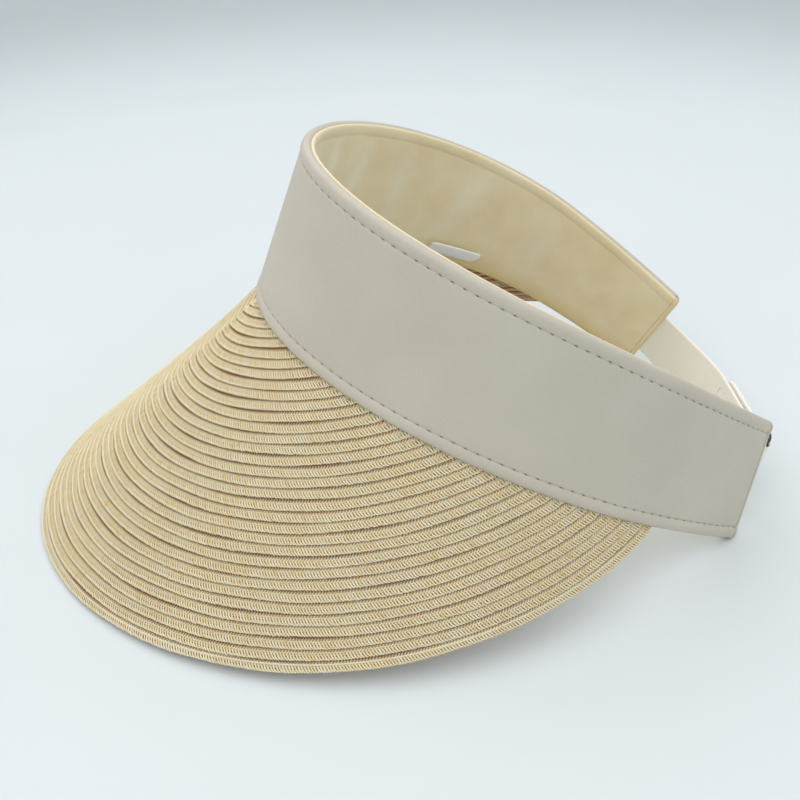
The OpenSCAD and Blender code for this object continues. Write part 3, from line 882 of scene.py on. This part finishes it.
def make_band_stitching():
    top = band_height(HIGH_HOLES) - TOP_SEAM
    band_seam("stitches_band_top", HIGH_HOLES, top, "band_top_stitching")
    band_seam("stitches_band_bottom", LOW_HOLES, np.full(HOLES, BOTTOM_SEAM), "band_bottom_stitching")
    end_seam("stitches_left_end", 1, "band_left_end_stitching")
    end_seam("stitches_right_end", -1, "band_right_end_stitching")
    anchor_rows("stitches_strap_anchor", -1, ANCHOR_RIGHT, "strap_anchor_stitching")
    anchor_rows("stitches_ring_tab", 1, ANCHOR_LEFT, "ring_tab_stitching")


# ---- the straw brim ----
BRAID_PITCH = 3.45  # from one row to the next
BRAID_HALF_WIDTH = 2.07
STRANDS = 7
BRAID_PERIOD = 6.8  # run of one strand across the plait and back
STRAND_WIDTH = 0.6
STRAND_RISE = 0.27  # height of a strand's back above its edges
WEAVE_RISE = 0.28  # how far a strand goes over and under the others
ROW_TILT = 0.5  # the outer edge of a row lies over the next row out
ROW_CROWN = 0.1
ROW_MIDDLE = -1.1  # below the brim's upper face
# Where a strand gets its sections, in degrees from each crossing of the plait's middle
SECTION_TURNS = np.array([-66, -42, -21, -9, 0, 9, 21, 42, 66, 90])
ROWS_IN_A_PIECE = 2


def zigzag(theta):
    """A rounded triangle wave from -1 to 1."""
    return (np.sin(theta) - 0.06 * np.sin(3 * theta)) / 1.06


def braid_strand(brim, reach, row, start, wobble, local):
    """One strand of a row of plait: points, faces, and the tone, painted shade (deep) and painted
    underside glow (below) of each point.
    """
    u_table, run_table = row
    total = run_table[-1]
    halves = np.arange(0, 2 * (total / BRAID_PERIOD + 1))
    turns = (halves[:, None] * 180 + SECTION_TURNS).ravel()
    run = BRAID_PERIOD * (turns / 360 - start)
    keep = (run > 0) & (run < total)
    theta, run = np.radians(turns[keep]), run[keep]
    count = len(run)
    if count < 4:
        return None

    # Its path across the row and back, over one strand and under the next
    hand = 0.16 * np.sin(run / 17 + wobble[0]) + 0.1 * np.sin(run / 6.1 + wobble[1])
    across = BRAID_HALF_WIDTH * zigzag(theta) * (1 + 0.04 * local.normal(size=count))
    share = across / BRAID_HALF_WIDTH
    under = (np.sin(2 * theta) - 0.5 * np.sin(6 * theta)) / 1.3
    lift = (
        ROW_MIDDLE - WEAVE_RISE * under + ROW_TILT * share + ROW_CROWN * (1 - share ** 2)
        + 0.03 * local.normal(size=count)
    )
    centre, normal = brim.at(np.interp(total - run, run_table, u_table), reach - across + hand)
    centre = centre + scaled(normal, lift)

    # Its section, a flat diamond: one edge, its back, the other edge and its underside
    tangent = unit(np.gradient(centre, axis=0))
    side = unit(np.cross(tangent, normal))
    width = (STRAND_WIDTH + 0.12 * share) * (1 + 0.05 * local.normal(size=count))
    half = scaled(side, width / 2)
    back = np.cross(side, tangent) * STRAND_RISE
    points = np.stack([centre - half, centre + back, centre + half, centre - back], axis=1)
    last = 4 * (count - 1)
    caps = np.array([[0, 1, 2, 3], [last + 3, last + 2, last + 1, last]])
    faces = np.concatenate([grid_faces(count, 4, wrap=True)[:, ::-1], caps])

    # Its colours: each stroke has its own tone, painted a little paler towards the row's outer edge as
    # light; painted shade darkens it at its edges, in the gaps, where it goes under and where the next
    # row laps it, and painted light makes its underside glow
    strokes = np.arange(0, theta[-1] + 4, np.pi)
    stroke = np.interp(theta, strokes, local.normal(0, 0.12, len(strokes)))
    tone = 0.8 + 0.08 * share + stroke + 0.04 * local.normal(size=count)
    inner = smoothstep(0.25, -0.55, share)
    edge = tone - 0.2 * (0.35 + 0.65 * inner)
    above = (0.7 + 0.25 * inner) * smoothstep(-0.1, 0.6, under)
    above = above + 0.8 * smoothstep(-0.34, -0.62, share)
    between = above + 0.36 + 0.5 * inner
    underside_shade = 0.3 * smoothstep(-0.2, 0.8, -under) + 0.4 * smoothstep(0.42, 0.66, share)
    tones = np.stack([edge, tone + 0.12, edge, tone + 0.1], axis=1)
    painted_shades = np.stack([between, above, between, underside_shade], axis=1)
    below = np.tile([0.0, 0.0, 0.0, 1.0], count)
    return points.reshape(-1, 3), [faces], [np.clip(v, 0, 1).ravel() for v in (tones, painted_shades, below)]


def braid_row(brim, reach, seed):
    """The strands of one row of plait."""
    local = np.random.default_rng(seed)
    row = brim.row(reach)
    phase = local.uniform(0, 1)
    wobble = local.uniform(0, 6.3, 3)
    starts = [(strand / STRANDS + phase) % 1 for strand in range(STRANDS)]
    strands = [braid_strand(brim, reach, row, start, wobble, local) for start in starts]
    return [strand for strand in strands if strand]


def make_braid(brim):
    deepest = brim.length.max() + Brim.TUCK - BRAID_HALF_WIDTH
    reaches = np.arange(BRAID_HALF_WIDTH, deepest, BRAID_PITCH)
    for first in range(0, len(reaches), ROWS_IN_A_PIECE):
        strands = []
        for i, reach in enumerate(reaches[first:first + ROWS_IN_A_PIECE]):
            strands += braid_row(brim, reach, 100 + first + i)
        points, faces = join_parts([strand[:2] for strand in strands])
        colours = (np.concatenate(values) for values in zip(*(strand[2] for strand in strands)))
        piece = make_object(
            f"brim_braid_rows_{first + 1:02d}", points, faces, STRAW,
            dict(zip(("tone", "deep", "below"), colours)),
        )
        place(piece, "visor", "brim_braid")


WIRE_INSET = 2.0
WIRE_DEPTH = 0.95
WIRE_RADIUS = 0.3


def make_edge_wire(brim):
    u = np.linspace(brim.u[0] + 6, brim.u[-1] - 6, 300)
    p, normal = brim.at(u, np.full_like(u, WIRE_INSET))
    path = p - scaled(normal, WIRE_DEPTH)
    tube = many_tubes(path[None], normal[None], circle_outline(WIRE_RADIUS, 8))
    place(make_object("brim_wire", *tube, WIRE), "visor", "brim_edge_wire")


CLEAR_RADIUS = 0.13
CLEAR_DEPTH = 0.35


def make_clear_thread(brim):
    """Short glinting loops of clear thread where the braid goes under the band."""
    run_u = np.linspace(-brim.u[-1] + 5, brim.u[-1] - 5, 2400)
    run = distances(brim.at(run_u, np.interp(run_u, brim.u, brim.length) - 1.1)[0])
    u = np.interp(np.arange(1, run[-1] - 3, STITCH_PITCH), run, run_u)
    local = np.random.default_rng(5)
    inset = np.interp(u, brim.u, brim.length)
    a, normal = brim.at(u, inset - local.uniform(1.0, 1.6, len(u)))
    b, _ = brim.at(u + 0.3, inset + 0.5)
    middle = (a + b) / 2 + scaled(normal, 0.25)
    s = np.linspace(0, 1, 9)[:, None]
    paths = a[:, None] * (1 - s) ** 2 + middle[:, None] * 2 * s * (1 - s) + b[:, None] * s ** 2
    paths = paths - normal[:, None] * CLEAR_DEPTH
    spread = np.repeat(normal[:, None], 9, axis=1)
    tubes = many_tubes(paths, spread, circle_outline(CLEAR_RADIUS, 6))
    place(make_object("clear_seam_thread", *tubes, CLEAR), "visor", "brim_seam_thread")


# ---- the rear strap, its loop and its tail ----
STRAP_MIDDLE = -BORE - STRAP_THICKNESS / 2
STRAP_HALF = STRAP_WIDTH / 2
STRAP_SEAM = 2.6  # from the strap's edges to its stitches
TAIL_SEAM = 1.7
TAIL_CORNER = 5.0
BEND_START = -STRAIGHT_LENGTH - BEND_RUN
LOOP_START = -2.68
TAIL_ROOT = -4.0
TAIL_MIDDLE = 1.7  # from the ring's outer bar to the middle of the tail's thickness
TAIL_BEND_RUN = 3.5
THREAD_GAP = 3.1  # pitch and length of the stitches on the tail and round the patches
THREAD_RUN = 2.6

# First body, second body, and where the bend between them begins and stops
STRAP_BEND = (
    "visor", "ring",
    closure_point(-STRAIGHT_LENGTH, STRAP_MIDDLE, 0), closure_point(LOOP_START, STRAP_MIDDLE, 0),
)
LOOP_BEND = ("ring", "tail_root", OUTER_BAR - 1.5 * STRAP_OUT, OUTER_BAR + 1.5 * STRAP_OUT)
TAIL_BEND = (
    "tail_root", "tail",
    closure_point(TAIL_ROOT, TAIL_MIDDLE, 0), closure_point(TAIL_ROOT - TAIL_BEND_RUN, TAIL_MIDDLE, 0),
)


def strap_section(half_width):
    """Outline of the strap: z across and y from its middle, edges rounded, seams pressed in."""
    half_t = STRAP_THICKNESS / 2
    z = np.linspace(-1, 1, 25) * (half_width - half_t)
    seam = half_width - STRAP_SEAM
    relief = 0.04 * bell(np.abs(z) - seam - 1.3, 0.6) - 0.1 * bell(np.abs(z) - seam, 0.5)
    outer = np.stack([z, half_t + relief], axis=-1)
    turn = np.array([60, 30, 0, -30, -60])
    right = np.stack([half_width - half_t + half_t * cos(turn), half_t * sin(turn)], axis=-1)
    inner = np.stack([z[::-1], -half_t - relief[::-1]], axis=-1)
    return np.concatenate([outer, right, inner, -right])


def soft_strip(name, stations, half_widths, where):
    """A closed strip through stations. where(station, z, y) gives the points, y from the middle."""
    half_widths = np.broadcast_to(half_widths, len(stations))
    points, faces = sweep([where(s, *strap_section(w).T) for s, w in zip(stations, half_widths)])
    return make_object(name, points, faces, STRAP_LEATHER, {"pit": np.zeros(len(points))})


def make_strap():
    runs = np.concatenate([
        np.linspace(BEND_START - INSIDE_RUN, BEND_START - 0.5, 6),
        np.linspace(BEND_START, -STRAIGHT_LENGTH, 40),
        np.linspace(1 - STRAIGHT_LENGTH, LOOP_START, 20),
    ])

    def strap_at(x, z, y):
        return strap_run(x, z, y + STRAP_MIDDLE)

    strap = soft_strip("strap_leather", runs, STRAP_HALF, strap_at)
    place(strap, STRAP_BEND, "strap")


def make_strap_loop():
    """The loop round the ring's outer bar.

    Stations from 0 to 180 are degrees round the bar. Those outside run on straight, to the strap
    at -1 and to the tail at 181.
    """
    def loop_at(s, z, y):
        radius = -STRAP_MIDDLE - y
        if s < 0:
            return closure_point(LOOP_START * -s, -radius, z)
        if s > 180:
            return closure_point(TAIL_ROOT * (s - 180), radius, z)
        return closure_point(radius * sin(s), -radius * cos(s), z)

    stations = np.concatenate([[-1, -0.5], np.linspace(0, 180, 19), [180.34, 180.67, 181]])
    loop = soft_strip("strap_turn", stations, STRAP_HALF, loop_at)
    place(loop, LOOP_BEND, "tail_loop")


def make_tail():
    """The strap's end beyond the loop, with rounded corners."""
    from_end = np.concatenate([
        [0, 0.08, 0.3, 0.7, 1.3, 2.1, 3.2, 4.2, 5], np.linspace(6, TAIL_LENGTH + TAIL_ROOT, 24)
    ])[::-1]
    into = np.clip(TAIL_CORNER - from_end, 0, TAIL_CORNER)
    round_in = np.sqrt(TAIL_CORNER ** 2 - into ** 2)
    widths = STRAP_HALF - TAIL_CORNER + np.maximum(round_in, 0.9)

    def tail_at(s, z, y):
        return closure_point(s, -STRAP_MIDDLE - y, z)

    tail = soft_strip("strap_tail_leather", from_end - TAIL_LENGTH, widths, tail_at)
    place(tail, TAIL_BEND, "strap_tail")


def make_strap_stitching():
    """Two rows along the strap's edges, from inside the band to the ring."""
    pitch = STITCH_PITCH * 0.8
    x = np.arange(BEND_START + 3, LOOP_START - pitch, pitch)
    seam = STRAP_HALF - STRAP_SEAM
    face, back = -BORE + 0.02, -BORE - STRAP_THICKNESS
    starts, ends, below = (
        np.concatenate([strap_run(x + shift, z, y) for z in (-seam, seam)])
        for shift, y in ((0.3, face), (pitch - 0.3, face), (0.3, back))
    )
    stitch_threads("stitches_strap", starts, ends, unit(starts - below), STRAP_BEND, "strap_stitching",
                   STRAP_THREAD, radius=0.16, lift=0.03, sink=0.3)


def stitch_pairs(xs, y, zs, dx, dz):
    """Both ends of a stitch at each x and z of a flat face of the closure."""
    return [(closure_point(x, y, z), closure_point(x + dx, y, z + dz)) for x in xs for z in zs]


def face_stitches(name, pairs, out, body, replaced, lift=0.05):
    """Stitches on a flat face of the closure, from pairs of points."""
    starts, ends = (np.array(points) for points in zip(*pairs))
    stitch_threads(name, starts, ends, np.repeat(out[None], len(starts), axis=0), body, replaced,
                   STRAP_THREAD, radius=0.15, lift=lift, sink=0.3)


def make_tail_stitching():
    """A row along each edge of the tail, and one that bows across its end."""
    seam = STRAP_HALF - TAIL_SEAM
    y = BORE + STRAP_THICKNESS
    x = np.arange(-TAIL_LENGTH + 5.2, TAIL_ROOT - 4.5, THREAD_GAP)
    pairs = stitch_pairs(x, y, (-seam, seam), THREAD_RUN, 0)
    arc = np.linspace(-seam, seam, 15)
    bow = -TAIL_LENGTH + TAIL_SEAM + 3.2 * (np.abs(arc) / seam) ** 4
    across = closure_point(bow, y, arc)
    step = unit(across[1:] - across[:-1]) * 0.2
    pairs.extend(zip(across[:-1] + step, across[1:] - step))
    face_stitches("stitches_tail", pairs, STRAP_OUT, "tail", "tail_stitching", lift=0.04)


# ---- the hook-and-loop patches ----
PATCH = (-31.0, -7.0)  # where the patches begin and stop along the strap
PATCH_HALF_WIDTH = 9.0
PATCH_THICKNESS = 0.4
PATCH_SEAM = 1.3
BRISTLE_HEIGHT = 0.42


def patch_stitches(y):
    """Stitches along the four sides of a patch."""
    low, high, half = PATCH[0] + PATCH_SEAM, PATCH[1] - PATCH_SEAM, PATCH_HALF_WIDTH - PATCH_SEAM
    pairs = stitch_pairs(np.arange(low, high - 2.5, THREAD_GAP), y, (-half, half), THREAD_RUN, 0)
    for z in np.arange(-half + 0.4, half - 2.5, THREAD_GAP):
        pairs += stitch_pairs((low, high), y, (z,), 0, THREAD_RUN)
    return pairs


def patch_base(y_back, y_face):
    """The patch's woven backing with rounded corners."""
    angle = np.linspace(0, 2 * np.pi, 48, endpoint=False)
    c, s = np.cos(angle), np.sin(angle)
    half_length, middle = (PATCH[1] - PATCH[0]) / 2, (PATCH[0] + PATCH[1]) / 2
    rings = []
    for share, shrink in ((0, 0.1), (0.5, 0.0), (0.9, 0.08), (1, 0.35)):
        x = middle + np.sign(c) * np.abs(c) ** 0.22 * (half_length - shrink)
        z = np.sign(s) * np.abs(s) ** 0.22 * (PATCH_HALF_WIDTH - shrink)
        rings.append(closure_point(x, mix(y_back, y_face, share), z))
    if y_face < y_back:
        rings = [ring[::-1] for ring in rings]
    return sweep(rings)


def bristles(y_foot, sign, spread_x, spread_z, hooked, seed):
    """Rows of tiny hooks, or a pile of tiny loops, standing on a patch."""
    local = np.random.default_rng(seed)
    xs = np.arange(PATCH[0] + 1.0, PATCH[1] - 0.9, spread_x)
    zs = np.arange(0.9 - PATCH_HALF_WIDTH, PATCH_HALF_WIDTH - 0.8, spread_z)
    x, z = (a.ravel() for a in np.meshgrid(xs, zs))
    x = x + local.normal(0, 0.1 if hooked else 0.3, len(x))
    z = z + local.normal(0, 0.05 if hooked else 0.3, len(z))
    heading = local.normal(0, 0.25, len(x)) if hooked else local.uniform(0, np.pi, len(x))
    s = np.linspace(0, 1, 8)[None]
    if hooked:
        side, rise = 0.42 * np.clip(s - 0.35, 0, 1) ** 1.2 * 1.6, np.sin(s * 2.3)
    else:
        side, rise = 0.55 * (s - 0.5), np.sin(np.pi * s)
    tall = BRISTLE_HEIGHT * (1 + 0.12 * local.normal(size=(len(x), 1)))
    px = x[:, None] + side * np.cos(heading)[:, None]
    pz = z[:, None] + side * np.sin(heading)[:, None]
    paths = closure_point(px, y_foot + sign * (tall * rise - 0.06), pz)
    normals = np.broadcast_to(unit(STRAP_UP + 0.3 * STRAP_DIR), paths.shape)
    return many_tubes(paths, normals, circle_outline(0.075, 4))


def make_patches():
    face = BORE - PATCH_THICKNESS
    pile = join_parts([patch_base(-BORE, -face), bristles(-face, 1, 0.75, 0.7, False, 21)])
    loops = make_object("loop_patch_pile", *pile, PILE)
    place(loops, STRAP_BEND, "loop_patch")
    teeth = join_parts([patch_base(BORE, face), bristles(face, -1, 1.15, 0.95, True, 22)])
    hooks = make_object("hook_patch_hooks", *teeth, HOOKS)
    place(hooks, "tail", "hook_patch")
    y = BORE + STRAP_THICKNESS + 0.02
    for kind, side, body in (("loop", -1, STRAP_BEND), ("hook", 1, "tail")):
        pairs = patch_stitches(side * y)
        face_stitches(f"stitches_{kind}_patch", pairs, side * STRAP_OUT, body, f"{kind}_patch_stitching")


# ---- ring and its tab ----
RING_CORNER = 1.7


def make_ring():
    """The wire ring: four straight bars with rounded corners between them."""
    half = STRAP_HALF + 1 + RING_WIRE - RING_CORNER
    turn = np.linspace(0, 90, 7)
    corners = [(RING_SPAN - RING_CORNER, half), (RING_CORNER, half)]
    corners += [(RING_CORNER, -half), (RING_SPAN - RING_CORNER, -half)]
    arcs = [
        np.stack([x + RING_CORNER * cos(90 * i + turn), z + RING_CORNER * sin(90 * i + turn)], axis=-1)
        for i, (x, z) in enumerate(corners)
    ]
    path = []
    for arc, following in zip(arcs, arcs[1:] + arcs[:1]):
        path.extend(arc)
        path.extend(mix(arc[-1], following[0], s) for s in np.linspace(0, 1, 8)[1:-1])
    path = np.array(path)
    tangent = unit(np.roll(path, -1, axis=0) - np.roll(path, 1, axis=0))
    outward = np.stack([tangent[:, 1], -tangent[:, 0]], axis=-1)
    wire = circle_outline(RING_WIRE, 14)
    flat = path[:, None] + outward[:, None] * wire[None, :, :1]
    points = closure_point(flat[..., 0], wire[None, :, 1], flat[..., 1])
    faces = grid_faces(*flat.shape[:2], wrap=True, loop=True)
    place(make_object("ring_wire_loop", points, [faces], METAL), "ring", "ring")


def make_tab():
    """The tab that holds the ring: out of the band's left end, round the bar and back beside itself."""
    radius = BORE + TAB_THICKNESS / 2
    middle_depth = (CORE_FACE + CORE_BACK) / 2
    away = 3 * band_axes(BAND_END)[0]

    def layer(s, z, depth, y_end):
        if s < 0:
            return band_point(BAND_END + ANCHOR_ANGLE * s, ANCHOR_LEFT + z, depth)
        start = band_point(BAND_END, ANCHOR_LEFT + z, depth)
        return curve(start, away, -2 * STRAP_DIR, closure_point(RING_SPAN, y_end, z), s)

    def tab_at(station, z, y):
        y = y * TAB_THICKNESS / STRAP_THICKNESS
        if station <= 1:
            return layer(station, z, middle_depth - 0.3 - y, radius + y)
        if station <= 2:
            turn = 180 * (station - 1)
            return closure_point(RING_SPAN - (radius + y) * sin(turn), (radius + y) * cos(turn), z)
        s = 3 - station
        near = layer(max(s, -1), z, middle_depth + 0.3 + y, -(radius + y))
        if s < 0:
            return near
        beside = layer(s, z, middle_depth + 0.3 + y, radius - 0.62 - y)
        return mix(beside, near, smoothstep(0.45, 1.0, s))

    stations = np.concatenate([
        np.linspace(-1, 0, 4), np.linspace(0.1, 1, 10), np.linspace(1.1, 2, 10),
        np.linspace(2.1, 3, 10), np.linspace(3.3, 4, 3),
    ])
    place(soft_strip("ring_tab_leather", stations, TAB_WIDTH / 2, tab_at), "visor",
          "ring_tab")


# ---- the blank label ----
LABEL_SEAM = 2.2  # length of each half that is sewn in
LABEL_FOLD = 0.3  # radius of the fold
LABEL_TRIM = 1.2  # radius of the corners
LABEL_THICKNESS = 0.14
LABEL_BEND = 0.7  # how far its bend reaches each way from the seam


def make_label():
    along, up, out = band_axes(LABEL_ANGLE)
    stand = cos(LABEL_TILT) * up - sin(LABEL_TILT) * out
    face = -cos(LABEL_TILT) * out - sin(LABEL_TILT) * up
    foot = band_point(LABEL_ANGLE, LABEL_ROOT, LINING_BACK + 1.6)
    run = np.linspace(-LABEL_SEAM, LABEL_HEIGHT - 0.35, 14)
    bow = 0.22 * np.sin(np.pi * np.clip(run / LABEL_HEIGHT, 0, 1))
    turn = np.linspace(-70, 70, 6)
    near = np.stack([run, 0.62 + bow], axis=-1)
    fold = np.stack([run[-1] + LABEL_FOLD * cos(turn), 0.35 - LABEL_FOLD * sin(turn)], axis=-1)
    far = np.stack([run[::-1], 0.08 + 0.4 * bow[::-1]], axis=-1)
    height, depth = np.concatenate([near, fold, far]).T[:, :, None]
    depth = depth - 0.5 * smoothstep(0, -2.0, height)
    across = LABEL_LENGTH / 2 * sin(np.linspace(-90, 90, 36))
    curl = 0.35 * (across / across[-1]) ** 2
    corner = np.clip((np.abs(across) - LABEL_LENGTH / 2 + LABEL_TRIM) / LABEL_TRIM, 0, 1)
    trim = 1 - 0.24 * (1 - np.sqrt(1 - corner ** 2))
    points = (
        foot + scaled(along, across) + scaled(stand, height * trim)
        + scaled(face, depth + curl * np.clip(height / LABEL_HEIGHT, 0, 1))
    )
    label = make_object("blank_label", points, [grid_faces(*points.shape[:2])], LABEL)
    solidify(label, LABEL_THICKNESS, offset=0)
    bend = ("visor", "label", foot - LABEL_BEND * stand, foot + LABEL_BEND * stand)
    place(label, bend, "size_label")


# ---- stage, light and camera ----
FLOOR_RADIUS = 760.0
WALL_CURVE = 260.0  # radius of the curve between floor and wall
WALL_RADIUS = 1025.0
WALL_HEIGHT = 700.0


def make_stage():
    """A pale floor that curves up into a low wall all round, like the inside of a bowl."""
    rise = np.linspace(12, 90, 8)
    floor_radii = np.linspace(0, FLOOR_RADIUS, 11)
    radii = np.concatenate([floor_radii, FLOOR_RADIUS + WALL_CURVE * sin(rise), [WALL_RADIUS]])
    heights = np.concatenate([0 * floor_radii, WALL_CURVE * (1 - cos(rise)), [WALL_HEIGHT]])
    turn = np.linspace(0, 360, 96, endpoint=False)
    radii, heights = radii[:, None], heights[:, None]
    points = point(radii * cos(turn), radii * sin(turn), heights)
    faces = grid_faces(*points.shape[:2], wrap=True)[:, ::-1]
    floor = Finish("Studio floor", Roughness=0.6, Specular_IOR_Level=0.2)
    tint = floor.mottled(90, 2, (221, 226, 228), (223, 228, 230))
    # painted shade: the floor and wall darken further out, where less light reaches them
    floor.colour(floor.blend(floor.attribute("far"), tint, (190, 197, 199)))
    far = smoothstep(420, 900, np.broadcast_to(radii, points.shape[:2]))
    make_object("studio_floor", points, [faces], floor.material, {"far": far})


def aim(name, data, position, direction, roll=0.0):
    """A light or a camera at position, in metres, that looks along direction."""
    made = bpy.data.objects.new(name, data)
    made.location = position
    made.rotation_mode = "QUATERNION"
    facing = Vector(direction).to_track_quat("-Z", "Y")
    made.rotation_quaternion = facing @ Quaternion((0, 0, 1), math.radians(roll))
    bpy.context.scene.collection.objects.link(made)
    return made


def area_light(name, position, target, size, power, colour):
    data = bpy.data.lights.new(name, "AREA")
    data.shape = "DISK"
    data.size = size
    data.energy = power
    data.color = colour
    aim(name, data, position, Vector(target) - Vector(position))


def make_light():
    world = bpy.data.worlds.new("Soft room")
    bpy.context.scene.world = world
    world.use_nodes = True
    background = world.node_tree.nodes["Background"]
    background.inputs["Color"].default_value = (0.96, 0.98, 1.0, 1)
    background.inputs["Strength"].default_value = 1.06
    area_light("Key", (-0.15, -0.95, 1.0), (0, 0, 0.03), 2.8, 12.8, (1.0, 0.99, 0.97))
    area_light("Fill", (0.6, 0.9, 1.0), (0, 0, 0.05), 2.6, 6.8, (1.0, 1.0, 0.99))
    view = bpy.context.scene.view_settings
    view.view_transform = "Standard"
    view.look = "None"


# The camera looks at TARGET from this direction and distance: degrees and millimetres
AZIMUTH = 84.127
ELEVATION = 35.057
ROLL = -1.796
TARGET = np.array([-15.0, 5.51, 19.7])
DISTANCE = 380.5
LENS = 43.58


def make_camera():
    data = bpy.data.cameras.new("Camera")
    data.sensor_width = 36
    data.lens = LENS
    data.clip_start = 0.01
    data.clip_end = 20
    back = np.array([
        sin(AZIMUTH) * cos(ELEVATION), -cos(AZIMUTH) * cos(ELEVATION), sin(ELEVATION)
    ])
    position = (TARGET + DISTANCE * back) * MM
    bpy.context.scene.camera = aim("Camera", data, position, -back, ROLL)


def finish_cad_nodes():
    """Gives the CAD nodes that still show their own materials."""
    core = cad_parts["band_core"]
    core.data.materials.clear()
    core.data.materials.append(PLASTIC)


make_camera()
make_light()
make_stage()
make_band()
make_lining()
make_band_stitching()
straw_brim = Brim()
make_braid(straw_brim)
make_edge_wire(straw_brim)
make_clear_thread(straw_brim)
make_strap()
make_strap_loop()
make_tail()
make_strap_stitching()
make_patches()
make_tail_stitching()
make_ring()
make_tab()
make_label()
finish_cad_nodes()
